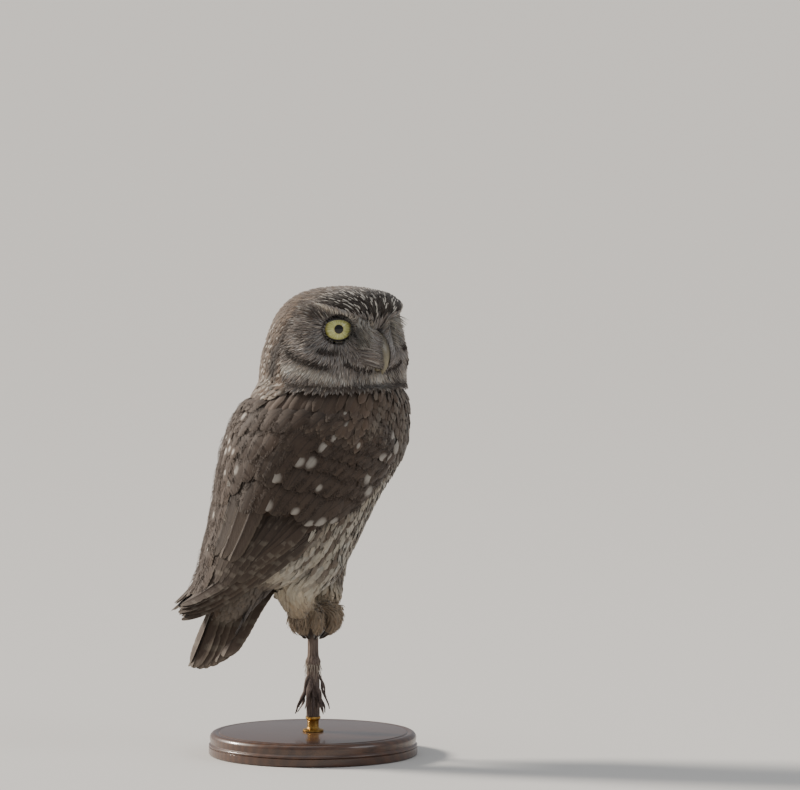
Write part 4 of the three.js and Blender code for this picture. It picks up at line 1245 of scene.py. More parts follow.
def makeFrontCoat():
    random = default_rng(71)
    roots = scatter(coatRegions["front"], front["spacing"], 9)
    count = len(roots)
    t, _, _, _ = placeOnSheet(roots)
    high, low = ease(t, 46, 92), ease(10 - t, 0, 14)
    shape = dict(plumeShape, depth=front["depth"], jag=0.25, turn=7, loose=1.1, roll=10)
    neck = bump(t - 101, 13)
    shape["length"] = mix(mix(front["length"], 8, high), 10, low) + shawl["length"] * neck
    shape["half"] = (mix(front["half"], 1.7, high) + 0.5 * neck) * random.uniform(0.8, 1.2, count)
    shape["lift"] = 0.05 + 0.4 * shawl["raise"] * neck[:, None]
    lines = growCoat(roots, lieOfBody, shape, random)
    plan = featherPlan(count)
    frontTones(plan, lines["seen"], random)
    vary(plan, random, 0.07)
    coatPiece("frontCoat", lines, plan, "plume", "body")


# Legs and feet: short pale feathering, down to bristles on the toes
leg = {"spacing": 1.1, "length": 8, "half": 1.1, "depth": 1.7, "puff": 3.2, "forward": 3.6}
foot = {"spacing": 0.7, "length": 4.3, "half": 0.36, "depth": 0.7}


def puffOut(lines):  # the feathering stands out behind the right leg and before the left one
    places = lines["centre"].reshape(-1, 3)
    near, far = (bump(pathsDistance(places, [thighPaths[k], shankPaths[k]])[0] - 6, 9) for k in (0, 1))
    behind = near * ease(-places[:, 0], 6, 12) * (places[:, 1] < 0)
    before = far * bump(places[:, 2] - gripZ - 17.5, 11) * ease(places[:, 0], 6, 14) * (places[:, 1] > 0)
    away = unit((places - [6, 6, 0]) * [1, 1, 0])
    moved = places + onCoat(places)[1] * (leg["puff"] * behind)[:, None]
    moved += away * (leg["forward"] * before)[:, None]
    lines["centre"] = moved.reshape(lines["centre"].shape)


def legTones(plan, share, z, cloud):
    tint(plan, share, mix(cream, buff, 0.45) * 0.76)
    # painted shade: the feathering darkens towards the grip, where the toes lie in shade; the cloud adds
    # random patches
    gripShade = np.clip((gripZ + 32 - z) / 24, 0, 1)
    tint(plan, share * (gripShade * 0.6 + 0.3 * cloud), mix(sand, brown, 0.4) * 0.95)


def makeLegCoat():
    random = default_rng(81)
    roots = scatter(coatRegions["leg"], leg["spacing"], 11)
    count = len(roots)
    low = ease(gripZ + 34 - roots[:, 2], 0, 18)
    shape = dict(plumeShape, jag=0.25, roll=12, loose=1.5, turn=9)
    shape["length"] = mix(leg["length"] + 3, 5.5, low)
    shape["half"] = mix(leg["half"] + 0.4, 0.6, low)
    shape["depth"] = mix(leg["depth"] + 0.8, 1.0, low)
    lines = growCoat(roots, lieOfLegs, shape, random)
    puffOut(lines)
    plan = featherPlan(count)
    frontTones(plan, lines["seen"], random)
    plan["spot"][:, 2] = 0
    cloud = patchNoise(roots[:, 1] / 4, roots[:, 2] / 6, random)
    below = 1 - ease(lines["seen"][:, 2], gripZ + 18, gripZ + 29)
    legTones(plan, below * 0.95, lines["seen"][:, 2], cloud)
    tint(plan, (random.random(count) < 0.05) * 0.5, brown)
    vary(plan, random, 0.06)
    coatPiece("legCoat", lines, plan, "plume", "legs")


def makeFootCoat():
    random = default_rng(91)
    roots = scatter(coatRegions["foot"], foot["spacing"], 13)
    count = len(roots)
    shape = dict(tuftShape, length=foot["length"], half=foot["half"], depth=foot["depth"], turn=16)
    shape.update(curl=0.5, thick=0.14, loose=2.2)
    lines = growCoat(roots, lieOfFeet, shape, random)
    puffOut(lines)
    plan = featherPlan(count)
    cloud = patchNoise(roots[:, 0] / 3, roots[:, 2] / 3 + roots[:, 1] / 3, random)
    legTones(plan, np.ones(count), lines["seen"][:, 2], cloud)
    tint(plan, (random.random(count) < 0.05) * 0.5, umber)
    vary(plan, random, 0.08)
    coatPiece("footCoat", lines, plan, "tuft", "toes")


# Wing tracts on the sheet: count, roll, taper, then the outermost feather, by the wing's lower edge,
# and the innermost, by the back. Each has its root's t and distance from the middle of the back,
# its turn from straight down, bend, length and half width, and its heights over the sheet at root,
# middle and tip.
wingTracts = {
    "lesser5": (7, 7, 0.9,
        (101, 98, -42, 2, 9.5, 3.0, -3.2, -0.6, 0.1), (104, 70, -24, 2, 9.5, 3.1, -3.2, -0.4, 0.3)),
    "lesser4": (10, 7, 0.9,
        (96, 105, -42, 2, 10.5, 3.2, -3.2, -0.6, 0.1), (99, 60, -22, 2, 10.5, 3.3, -3.2, -0.4, 0.3)),
    "lesser3": (12, 7, 0.9,
        (90.5, 107, -42, 2, 11.5, 3.4, -3.2, -0.6, 0.1), (93, 52, -19, 2, 12, 3.6, -3.2, -0.4, 0.3)),
    "lesser2": (13, 7, 0.88,
        (84.5, 106, -42, 2, 12.5, 3.6, -3.4, -0.6, 0), (86, 44, -16, 2, 13, 3.9, -3.4, -0.4, 0.3)),
    "lesser1": (14, 7, 0.88,
        (78.5, 105, -43, 2, 14, 3.8, -3.6, -0.6, 0), (78, 38, -14, 2, 15, 4.3, -3.6, -0.4, 0.3)),
    "median": (14, 8, 0.86,
        (72, 102, -43, 2, 18, 4.2, -4, -0.7, -0.1), (69, 34, -13, 2, 19, 5, -4, -0.4, 0.2)),
    "primaryCoverts": (6, 9, 0.75,
        (67, 101, -45, 0, 25, 3.2, -4.2, -1.3, -1.2), (62, 88, -42, 1, 27, 4.2, -4.4, -0.9, -0.5)),
    "greaterCoverts": (11, 8, 0.84,
        (62, 84, -40, 2, 27, 5.4, -4.4, -0.4, 0), (57, 28, -14, 2, 25, 5.8, -4.4, -0.3, 0.2)),
    "scapulars3": (7, 6, 0.88,
        (99, 58, -22, 2, 17, 4.6, -3.4, 0, 0.4), (92, 11, -5, 1, 18, 5, -4, 0, 0.4)),
    "scapulars2": (7, 6, 0.86,
        (92, 54, -21, 2, 22, 5.4, -3.6, 0, 0.4), (81, 11, -4, 1, 24, 5.8, -4.2, 0, 0.4)),
    "scapulars1": (6, 6, 0.84,
        (84, 48, -20, 2, 27, 6.2, -3.8, 0, 0.3), (68, 10, -4, 1, 32, 6.6, -4.6, 0, 0.3)),
    "tertials": (4, 4, 0.8,
        (57, 34, -16, 2, 51, 6.6, -4.4, -0.4, 0.3), (60, 6, -2, 1, 54, 6.6, -4.4, -0.2, 0.5)),
    "innerSecondaries": (4, 4, 0.84,
        (32, 24, -15, 2, 42, 6, -5, -1.9, -0.9), (34, 4, -2, 1, 44, 6, -5, -1.7, -0.7)),
    "secondaries": (10, 7, 0.8,
        (44, 64, -41, 2, 54, 5.6, -4.6, -1.5, -1.1), (36, 12, -9, 4, 46, 6, -4.6, -1.1, -0.7)),
    "primaries": (9, 12, 0.82,
        (37, 70, -45, -2, 90, 4.6, -5.2, -3.9, -3.2), (18, 35, -43, 12, 53, 5.2, -4.8, -2.2, 2.9)),
}
# Pale spots of the folded wing: place on the sheet, t and distance round, and radius
wingSpots = [
    (93, 64.5, 1.9), (86.5, 61.5, 1.9), (78, 58, 2.1), (75, 46, 1.7), (68, 54.7, 2), (66.5, 49, 1.8),
    (52.5, 37.6, 3.1), (39, 36.2, 2.4), (40.5, 51.5, 2), (41.5, 60.5, 3.6), (39, 68, 2.2), (19, 30, 2),
    (14.5, 39.4, 1.9), (12, 36, 1.6), (79.5, 90.5, 2.6), (72.5, 91, 2.6), (61.5, 91.2, 3.4),
    (98, 97, 2.4), (94.5, 104, 2.6), (49, 80.7, 2.3), (43, 74.5, 2.2), (53, 13.9, 1.6), (44, 9.9, 1.6),
    (27, 11, 1.6), (85, 100, 2.2), (66, 96, 2.4), (88, 74, 1.4), (57, 62, 1.5), (30, 56, 1.6),
]
vaneStops = 1 - (1 - np.linspace(0, 1, 44)) ** 1.25
coverStops = 1 - (1 - np.linspace(0, 1, 26)) ** 1.35
shoulderDrop = 4.5  # the lesser coverts sink in towards the neck


def vaneOutline(share, taper):  # half width along a vane with a rounded tip
    base = mix(0.5, 1, ease(share, 0, 0.42)) * mix(1, taper, ease(share, 0.42, 0.9))
    tip = np.sqrt(np.clip(1 - (np.maximum(share - 0.8, 0) / 0.203) ** 2, 0, 1))
    return base * tip


def ragged(share, count, random, splits=3, deepest=0.24):  # an edge with a few splits between the barbs
    edge = 1 + 0.03 * random.uniform(-1, 1, (count, len(share)))
    for _ in range(splits):
        place = random.uniform(0.4, 1, (count, 1))
        edge = edge * (1 - deepest * random.random((count, 1)) ** 2 * bump(share - place, 0.014))
    return edge


def tractLines(tract, side, random):
    count, roll, taper, first, last = tract
    u = np.linspace(0, 1, count)
    t, turn, way, bend, length, half = (mix(first[k], last[k], u) for k in range(6))
    small = max(first[4], last[4]) < 40
    length = length * (1 + (0.1 if small else 0.03) * random.uniform(-1, 1, count))
    way = way + random.normal(0, 3 if small else 1, count)
    t = t + (1.1 * random.uniform(-1, 1, count) if small else 0)
    share = coverStops if small else vaneStops
    lifts = mix(np.array(first[6:]), np.array(last[6:]), u[:, None])
    lift = np.array([smoothRows(list(zip((0, 0.42, 1), row)))(share)[0] for row in lifts])

    def places(at):
        heading = np.radians(way[:, None] + bend[:, None] * at / 2)
        down = t[:, None] - np.cos(heading) * length[:, None] * at
        turned = turn[:, None] + np.sin(heading) * length[:, None] * at
        return down, turned, psiAt(down, turned)

    down, turned, psi = places(share[None])
    before, after = places(np.maximum(share - 0.03, 0)[None]), places((share + 0.03)[None])
    loose = 0.15 * random.uniform(-1, 1, count)[:, None] if small else 0
    lift = lift - shoulderDrop * ease(down, 88, 108) + loose
    centre = sheetPoint(down, psi, side, lift)
    ways = unit(sheetBase(after[0], after[2], side) - sheetBase(before[0], before[2], side))
    out = sheetOut(down, psi, side)
    across = unit(np.cross(out, ways)) * -side
    roll = np.radians(roll * (0.5 if small else 1) + random.normal(0, 1.2, count))[:, None, None]
    half = half * (1 + 0.08 * random.uniform(-1, 1, count))
    outline = half[:, None] * vaneOutline(share, taper)[None]
    return {
        "centre": centre,
        "side": across * np.cos(roll) + out * np.sin(roll),
        "out": out * np.cos(roll) - across * np.sin(roll),
        "half": outline * ragged(share, count, random),
        "other": outline * ragged(share, count, random),
        "thick": np.full((count, len(share)), 0.24) * np.sqrt(outline / half[:, None]),
        "camber": 0.15,
        "share": np.broadcast_to(share[None], (count, len(share))),
        "size": np.column_stack([length, half, random.random(count)]),
        "root": centre[:, 0],
        "places": np.stack([down, turned], -1),
        "way": way,
    }


# Barbs: loose ends along the edges of the coverts, which keep their outlines soft
barb = {"reach": [1.5, 2.7], "half": 0.17}


def clearOfSpots(covers, lines):  # the lines that run over none of the pale spots
    aside, far, wide = covers["spot"].T
    marked = np.flatnonzero(wide > 0.4)
    k = np.searchsorted(covers["share"][0], far[marked]).clip(1, covers["share"].shape[1] - 1)
    reach = np.where(aside[marked] > 0, covers["half"][marked, k], covers["other"][marked, k])
    middles = covers["centre"][marked, k] + (aside[marked] * reach)[:, None] * covers["side"][marked, k]
    free = np.ones(len(lines), bool)
    for middle, radius in zip(middles, wide[marked]):
        free &= np.linalg.norm(lines - middle, axis=2).min(1) > 1.35 * radius + 0.2
    return free


def looseBarbs(name, covers, random, each):
    count, stops = covers["centre"].shape[:2]
    heading = unit(np.gradient(covers["centre"], axis=1))
    which = np.repeat(np.arange(count), each)
    at = random.uniform(0.4, 0.985, len(which)) ** 0.8
    edge = np.where(random.random(len(which)) < 0.5, -1, 1)[:, None]
    within = random.uniform(0.6, 0.96, (len(which), 1))
    k = np.searchsorted(covers["share"][0], at).clip(1, stops - 1)
    pick = {key: covers[key][which, k] for key in ("centre", "side", "out", "half", "other")}
    ahead = heading[which, k]
    reach = np.where(edge[:, 0] > 0, pick["half"], pick["other"])[:, None] * within
    slant = np.radians(mix(52, 12, ease(at, 0.7, 1)) + random.normal(0, 8, len(which)))[:, None]
    way = ahead * np.cos(slant) + edge * pick["side"] * np.sin(slant)
    share = np.linspace(0, 1, 5)
    step = (share * random.uniform(*barb["reach"], (len(which), 1)))[..., None]
    rise = 0.16 + 0.22 * random.random((len(which), 1)) * share - 0.12 * covers["camber"]
    rise = (rise - 0.25 * (share == 0))[..., None]
    centre = (pick["centre"] + edge * reach * pick["side"])[:, None] + way[:, None] * step
    centre = centre + ahead[:, None] * step**2 * 0.1 + pick["out"][:, None] * rise
    free = clearOfSpots(covers, centre)
    which, at, edge, centre, step = which[free], at[free], edge[free], centre[free], step[free]
    facing = pick["out"][free][:, None]
    outline = np.array([0.9, 1, 0.85, 0.55, 0.08])
    length = step[:, -1, 0]
    lines = strands(centre, facing, barb["half"], outline, (0.7, 1.2), 0.07, 0, share, length, random)
    plan = featherPlan(len(which))
    plan["tone"] = covers["tone"][which] * random.uniform(0.9, 1.18, (len(which), 1))
    patch = covers["patch"][which]
    middle = patch[:, :2] + patch[:, 2:] * np.column_stack([edge[:, 0] * 0.4, at - 0.5])
    plan["patch"] = np.column_stack([middle, np.full(len(which), patchSize)])
    return vaneMesh(name, {**lines, **plan}, "tuft", softCoat)


def joinLines(groups):  # feathers with equally many stops, as one set
    joined = {key: np.concatenate([g[key] for g in groups]) for key in groups[0] if key != "camber"}
    return {**joined, "camber": groups[0]["camber"]}


def finishCovers(name, barbName, covers, material, random, each=40):
    finishPiece(vaneMesh(name, covers, "vane", material))
    finishPiece(looseBarbs(barbName, covers, random, each))


def placeSpots(groups, spots, random):  # each spot goes to the vane whose open part lies nearest
    for t, turn, radius in spots:
        best = None
        for name, g in groups.items():
            if name == "primaries":
                continue
            stops = g["share"][0]
            bare = (stops > 0.5) & (stops < 0.93)
            gaps = g["places"][:, bare] - [t, turn]
            heading = np.radians(g["way"])[:, None]
            aside = gaps[..., 0] * np.sin(heading) + gaps[..., 1] * np.cos(heading)
            ahead = np.hypot(gaps[..., 0], gaps[..., 1])
            lateral = -aside / g["size"][:, 1:2]
            cost = ahead + 2.5 * np.abs(lateral - 0.35) + 3 * (np.abs(lateral) > 0.9)
            i, k = np.unravel_index(cost.argmin(), cost.shape)
            if best is None or cost[i, k] < best[0]:
                best = (cost[i, k], g, i, stops[bare][k], lateral[i, k])
        _, g, i, far, lateral = best
        g["spot"][i] = [np.clip(lateral, -0.5, 0.6), far, radius * random.uniform(0.95, 1.25)]


def makeWing(side, word):
    random = default_rng(100 + side)
    groups = {}
    for index, (name, tract) in enumerate(wingTracts.items()):
        lines = tractLines(tract, side, random)
        count = tract[0]
        long = lines["centre"].shape[1] == len(vaneStops)
        mark = mix(buff, grey, 0.6) * 0.34 if long else mix(white, grey, 0.3) * 0.56
        plan = featherPlan(count, mix(umber, brown, 0.3) * 0.75, mark, 0.05 if long else 0.02)
        plan["lines"][:, 1] = {"primaries": 7, "secondaries": 5}.get(name, 0)
        vary(plan, random, 0.06)
        plan["patch"] = rowPatches(count, (index + 0.5) / len(wingTracts), 0.9 / len(wingTracts))
        groups[name] = {**lines, **plan}
    placeSpots(groups, wingSpots if side < 0 else [(t + 1.5, r - 1, s) for t, r, s in wingSpots], random)
    flight = [g for g in groups.values() if g["centre"].shape[1] == len(vaneStops)]
    covers = joinLines([g for g in groups.values() if g["centre"].shape[1] == len(coverStops)])
    finishPiece(vaneMesh(f"wingQuills{word}", joinLines(flight), "quill", vaneCoat))
    finishCovers(f"wingCoverts{word}", f"wingBarbs{word}", covers, vaneCoat, random)


# Mantle: feathers down the middle of the back, over the inner edges of both wings
mantle = {"rows": 17, "top": 94, "step": 5.3, "reach": 10, "length": [11, 26], "half": [3.4, 5.8]}


def makeMantle():
    random = default_rng(121)
    groups = []
    for row in range(mantle["rows"]):
        u = row / (mantle["rows"] - 1)
        t = mantle["top"] - mantle["step"] * row
        reach = mantle["reach"] * mix(1, 0.6, ease(u, 0.3, 0.9)) - (3.2 if row % 2 else 0)
        length, half = mix(*mantle["length"], u), mix(*mantle["half"], u)
        count = 5 - row % 2
        shape = (0, length, half, -3.4, 0.1, mix(0.9, 0.2, u))
        lines = tractLines((count, 0, 0.86, (t, -reach, 5, *shape), (t, reach, -5, *shape)), 1, random)
        plan = featherPlan(count, mix(umber, brown, 0.35) * 0.9, white * 0.55, 0.05)
        spotted = random.random(count) < 0.12
        plan["spot"][spotted, 2] = random.uniform(0.9, 1.5, spotted.sum())
        vary(plan, random, 0.05)
        plan["patch"] = rowPatches(count, (row + 0.5) / mantle["rows"], 0.05, 5)
        groups.append({**lines, **plan})
    finishCovers("mantle", "mantleBarbs", joinLines(groups), vaneCoat, random, 24)


# Tail: twelve feathers folded like a low roof, as in the solids
tail = {"pairs": 6, "root": 4, "length": 56, "half": 6.2, "ridge": -23.4, "drop": 2.4, "spread": 2.2,
        "rounding": 0.42, "flare": 12}


def makeTail():
    random = default_rng(131)
    share = vaneStops
    centre, sides, outs = [], [], []
    for pair in range(tail["pairs"]):
        for side in (-1, 1):
            roll = math.radians(26 + 2.4 * pair)
            length = tail["length"] - tail["rounding"] * pair * pair
            t = tail["root"] - length * share
            y = side * (2.6 + tail["spread"] * pair) * mix(0.6, 1.06, share)
            e = (tail["ridge"] + tail["drop"] * pair) * mix(0.86, 1, ease(share, 0, 0.4)) - 2 * share**2
            e = e + (pair / 5) ** 1.5 * (tail["flare"] * (1 - share) ** 1.6 - 1.8 * share**2)
            centre.append(bodyPoint(t, e, y))
            outward = leftward * side
            sides.append(np.tile(outward * math.cos(roll) + forward * math.sin(roll), (len(share), 1)))
            outs.append(np.tile(outward * math.sin(roll) - forward * math.cos(roll), (len(share), 1)))
    count = len(centre)
    half = np.tile(tail["half"] * mix(0.75, 1, ease(share, 0.3, 0.7)) * vaneOutline(share, 1), (count, 1))
    other = half * ragged(share, count, random)
    half = half * ragged(share, count, random)
    plan = featherPlan(count, mix(umber, brown, 0.35) * 0.9, mix(buff, grey, 0.5) * 0.3, 0.08)
    plan["lines"][:, 1] = 4
    vary(plan, random, 0.05)
    lines = {
        "centre": np.array(centre), "side": np.array(sides), "out": np.array(outs), "half": half,
        "other": other, "thick": 0.26, "camber": 0.12, "share": share[None],
        "size": np.array([(tail["length"], tail["half"], 0.5 + 0.02 * k) for k in range(count)]),
        "patch": rowPatches(count, 0.5, 0.9 / count),
    }
    finishPiece(vaneMesh("tailFeathers", {**lines, **plan}, "quill", vaneCoat), ("tail",))


# Undertail coverts: long soft feathers below the tail's root, on this line of t and e
underLine = smoothRows([[-50, -14], [-38, -10.5], [-27, -7.4], [-15, -4.6], [-3, 0.6], [8, 7], [14, 11]])
underTail = {"rows": 4, "top": 10, "step": 8, "reach": 10, "length": 21, "half": 4.6, "count": 6}


def makeUnderTail():
    random = default_rng(137)
    share = coverStops
    groups = []
    for row in range(underTail["rows"]):
        count = underTail["count"]
        u = np.linspace(-1, 1, count) * (1 - 0.5 / count * (row % 2))
        length = underTail["length"] * (1 + 0.1 * random.uniform(-1, 1, count)) * (1 - 0.2 * u**2)
        t = underTail["top"] - underTail["step"] * row + 2 * u[:, None] ** 2 - length[:, None] * share
        e = underLine(t)[0] - 3 * u[:, None] ** 2 - 3 * (1 - ease(share, 0, 0.4)) + 0.5 - 0.4 * row
        centre = bodyPoint(t, e, u[:, None] * underTail["reach"] * (1 + 0.15 * share))
        ways = unit(np.gradient(centre, axis=1))
        tilt = (u[:, None, None] * 0.5) * leftward + forward
        out = along(np.broadcast_to(tilt, centre.shape), ways)
        half = np.full(count, underTail["half"])
        outline = half[:, None] * vaneOutline(share, 0.85)[None]
        # painted shade: the undertail coverts get a shaded brown-grey, though their own colour is white
        plan = featherPlan(count, mix(brown, grey, 0.25) * 0.62)
        vary(plan, random, 0.08)
        plan["patch"] = rowPatches(count, (row + 0.5) / underTail["rows"], 0.1)
        groups.append({
            "centre": centre, "side": np.cross(ways, out), "out": out,
            "half": outline * ragged(share, count, random), "other": outline * ragged(share, count, random),
            "thick": np.full((count, len(share)), 0.2) * np.sqrt(outline / half[:, None]), "camber": 0.2,
            "share": np.broadcast_to(share, (count, len(share))),
            "size": np.column_stack([length, half, random.random(count)]), **plan,
        })
    finishCovers("underTail", "underTailBarbs", joinLines(groups), softCoat, random)


makeCrownCoat()
makeFaceCoat()
makeFaceLines()
makeBristles()
makeFans()
makeLores()
makeBackCoat()
makeFrontCoat()
makeLegCoat()
makeFootCoat()
for side, word in bothSides:
    makeWing(side, word)
makeMantle()
makeTail()
makeUnderTail()


# The skin under the coat takes the place of every solid of flesh, a coat's depth further in
def spread(values, rounds):  # evens values out between neighbours on the coat shape
    pairs = np.array([(f[i], f[i - 1]) for f in coatFaces for i in range(len(f))])
    count = np.bincount(pairs.ravel(), minlength=len(values))[:, None]
    for _ in range(rounds):
        total = np.zeros_like(values)
        np.add.at(total, pairs[:, 0], values[pairs[:, 1]])
        np.add.at(total, pairs[:, 1], values[pairs[:, 0]])
        values = 0.5 * values + 0.5 * total / count
    return values


def makeSkin():
    depth = np.full(len(coatPoints), 1.2)
    tone = np.tile(umber, (len(coatPoints), 1))
    looks = {
        "crown": (1.6, umber * 0.8),
        "face": (face["depth"], slate * 0.8),
        "back": (back["depth"], umber * 0.8),
        "front": (front["depth"], grey),
        "leg": (leg["depth"], cream * 0.7),
        "foot": (foot["depth"], sand * 0.8),
    }
    for name, (deep, paintTone) in looks.items():
        depth[coatRegions[name]] = deep
        tone[coatRegions[name]] = paintTone
    both = spread(np.column_stack([depth, tone]), 8)
    points = coatPoints - coatNormals * both[:, :1]
    mesh = skin.data
    mesh.attributes.remove(mesh.attributes["region"])
    mesh.vertices.foreach_set("co", (points * mm).astype(np.float32).ravel())
    giveValues(mesh, "tone", "FLOAT_COLOR", both[:, 1:])
    net = newMaterial("skin")
    fine = net.noise(net.place(), 1400, 2)
    tones = net.scaled(net.attribute("tone", "Color"), 0.7 + 0.6 * fine)
    shader = {"Roughness": 0.85, "Specular IOR Level": 0.2}
    shader.update({"Base Color": tones, "Normal": bumped(net, fine, 0.5, 0.3 * mm)})
    mesh.materials.append(feed(net, shader))
    replaced = fleshNodes + ["wing_left", "wing_right", "tail"]
    finishPiece(skin, replaced, 180)


makeSkin()


# Eyes: a ball with a bulging cornea, painted by the distance from its axis
iris = {"pupil": 2.35, "rim": 6.9, "bulge": 0.25}


def irisMaterial():
    shader = {"Roughness": 0.3, "Coat Weight": 0.8, "Coat Roughness": 0.02, "Specular IOR Level": 0.1}
    net = newMaterial("iris")
    turn, reach, _ = net.parts(net.attribute("eyePlace"))
    x, y = net.wave(turn), net.wave(turn + 1.571)
    ray = net.noise(net.point(x * 9, y * 9, reach * 0.25), 1.0, 4, 0.65)
    blotch = net.noise(net.point(x * 2, y * 2, reach * 0.5), 1.0, 1)
    yellow = net.blend(net.ease(ray, 0.35, 0.7), paint(170, 170, 96), paint(208, 210, 152))
    yellow = net.blend(net.ease(reach, 5.2, 6.9) * 0.6, yellow, paint(154, 138, 58))
    yellow = net.blend(net.ease(reach, 3.4, 2.3) * 0.35, yellow, paint(150, 128, 48))
    yellow = net.scaled(yellow, 0.8 + 0.4 * blotch)
    edge = (ray - 0.5) * 0.35
    dark = net.most(
        net.ease(reach + edge, iris["pupil"] + 0.14, iris["pupil"] - 0.06),
        net.ease(reach - edge, iris["rim"] - 0.25, iris["rim"] + 0.15),
    )
    tone = net.blend(dark, yellow, soot * 0.05)
    return feed(net, {**shader, "Base Color": tone})


def eyePoints(side, across, up, ahead):  # from the eye's own frame
    axes = eyeAxes(side)
    local = across[..., None] * axes[0] + ahead[..., None] * axes[1] + up[..., None] * axes[2]
    return fromHead(eyeCentre(side) + local)


def makeEyes():
    material = irisMaterial()
    for side, word in bothSides:
        angle = np.concatenate([np.linspace(0.005, 0.9, 34), np.linspace(0.95, math.pi - 0.05, 14)])[:, None]
        turn = turns(64)[None]
        radius = eye["radius"] + iris["bulge"] * bump(angle, 0.5)
        reach = radius * np.sin(angle)
        ahead = radius * np.cos(angle) + 0 * turn
        points = eyePoints(side, reach * np.cos(turn), reach * np.sin(turn), ahead)
        made = facesOut(makeObject(f"eyeball{word}", *closedTube(points), material))
        where = np.stack([turn + 0 * reach, reach + 0 * turn, 0 * reach * turn], -1).reshape(-1, 3)
        giveValues(made.data, "eyePlace", "FLOAT_VECTOR", where)
        finishPiece(made, (f"eye_{word.lower()}",), 80)


# Lids: a dark ring of bare skin round each eye, drawn out at the inner corner
lid = {"wide": 7.5, "above": 4.75, "below": 5.5, "corner": 2.2, "cornerDrop": 1.4}
lidProfile = [(-0.5, -0.5), (0, 0.1), (0.12, 0.42), (0.4, 0.6), (0.75, 0.5), (1.15, 0.1)]
lidProfile += [(1.7, -0.9), (2.2, -2.6)]


def makeLids():
    shader = {"Roughness": 0.42, "Specular IOR Level": 0.5}
    net = newMaterial("lids")
    fine = net.noise(net.place(), 2600, 3)
    tone = net.blend(fine, soot * 0.5, slate * 0.5)
    shader.update({"Base Color": tone, "Normal": bumped(net, fine, 0.6, 0.2 * mm)})
    material = feed(net, shader)
    for side, word in bothSides:
        turn = turns(72)
        inner = bump(np.arctan2(np.sin(turn), np.cos(turn)), 0.3)
        across = (lid["wide"] + lid["corner"] * inner) * np.cos(turn)
        high = np.where(np.sin(turn) > 0, lid["above"], lid["below"])
        up = high * np.sin(turn) - lid["cornerDrop"] * inner
        reach = np.hypot(across, up)
        ringPoints = []
        for over, rise in lidProfile:
            over = over * (1 + 0.8 * np.clip(np.sin(turn), 0, 1))  # the upper lid is the broader one
            share = 1 + over / reach
            away = np.minimum(reach + over, eye["radius"] - 0.2)
            ahead = np.sqrt(eye["radius"] ** 2 - np.minimum(away, 8.3) ** 2) + rise
            ringPoints.append(eyePoints(side, across * share, up * share, ahead))
        points = np.array(ringPoints)
        ringCount, sideCount = points.shape[:2]
        faces = tubeFaces(ringCount, sideCount)
        faces += [(a, b, b + (ringCount - 1) * sideCount, a + (ringCount - 1) * sideCount)
                  for a, b in ((k, (k + 1) % sideCount) for k in range(sideCount))]
        made = facesOut(makeObject(f"lids{word}", points.reshape(-1, 3), faces, material))
        finishPiece(made, (), 70)


# Bill: the hooked upper half with its cere and nostrils, and the lower half
def hornMaterial(name, tones, roughness, scale):  # tones from root to tip, by the attribute "far"
    net = newMaterial(name)
    shader = {"Roughness": roughness, "Coat Weight": 0.25, "Coat Roughness": 0.2}
    far = net.attribute("far", "Fac")
    cloud = net.noise(net.place(), scale, 4, 0.6)
    stops = [(k / (len(tones) - 1), tone) for k, tone in enumerate(tones)]
    ramp = net.node("ShaderNodeValToRGB", {"stops": stops}, {"Fac": far + (cloud - 0.5) * 0.25})
    tone = net.scaled(ramp, 0.75 + 0.5 * cloud)
    return feed(net, {**shader, "Base Color": tone, "Normal": bumped(net, cloud, 0.25, 0.3 * mm)})


def taperedTube(name, path, radii, sides, steps, material):
    u = np.linspace(0, 1, steps)
    line = splinePoints(path, steps)
    radius = smoothRows(np.column_stack([np.linspace(0, 1, len(radii)), radii]))(u)[0]
    radius = radius * np.sqrt(np.clip((1 - u) / 0.06, 0.02, 1))
    ways = unit(np.gradient(line, axis=0))
    across = unit(np.cross(ways, [0, 0, 1.0]))
    out = np.cross(across, ways)
    turn = turns(sides)[None, :, None]
    spokes = across[:, None] * np.cos(turn) + out[:, None] * np.sin(turn)
    points = line[:, None] + radius[:, None, None] * spokes
    made = facesOut(makeObject(name, *closedTube(points), material))
    giveValues(made.data, "far", "FLOAT", np.repeat(u, sides))
    return made


def makeBill():
    horn = [paint(76, 70, 61), paint(98, 91, 76), paint(126, 118, 94), paint(108, 100, 80)]
    material = hornMaterial("billHorn", horn, 0.38, 900)
    u = np.linspace(0, len(bill["sections"]) - 1, 44)
    x, z, half, deep = billRows(u)
    ways = unit(np.stack([np.gradient(x), np.zeros_like(x), np.gradient(z)], -1))
    outward = np.stack([-ways[:, 2], ways[:, 1], ways[:, 0]], -1)
    turn = turns(32)
    c, s = np.cos(turn), np.sin(turn)
    away = np.where(c > 0, 0.55, 0.8) * c * deep[:, None]
    ridge = 0.35 * bump(np.arctan2(s, c), 0.3) * ease(u, 1.6, 3)[:, None]
    nostril = -0.9 * bump(np.hypot((u[:, None] - 1.85) * 4.2, (np.abs(np.arctan2(s, c)) - 1.0) * 3.4), 0.8)
    cere = 0.45 * bump(u[:, None] - 1.7, 0.45) * bump(np.abs(np.arctan2(s, c)) - 1.0, 0.7)
    centre = np.stack([x, 0 * x, z], -1)[:, None]
    points = centre + (half[:, None] * s + np.sign(s) * (nostril + cere) * np.abs(s))[..., None] * [0, 1, 0]
    points = points + (away + ridge + (nostril + cere) * c)[..., None] * outward[:, None]
    upper = facesOut(makeObject("billUpper", *closedTube(fromHead(points)), material))
    giveValues(upper.data, "far", "FLOAT", np.repeat(u / u[-1], len(turn)))
    finishPiece(upper, ("bill_upper",))
    path = fromHead(bill["lower"])
    lower = taperedTube("billLower", path, [2.8, 2.2, 1.1], 20, 24, material)
    finishPiece(lower, ("bill_lower",))


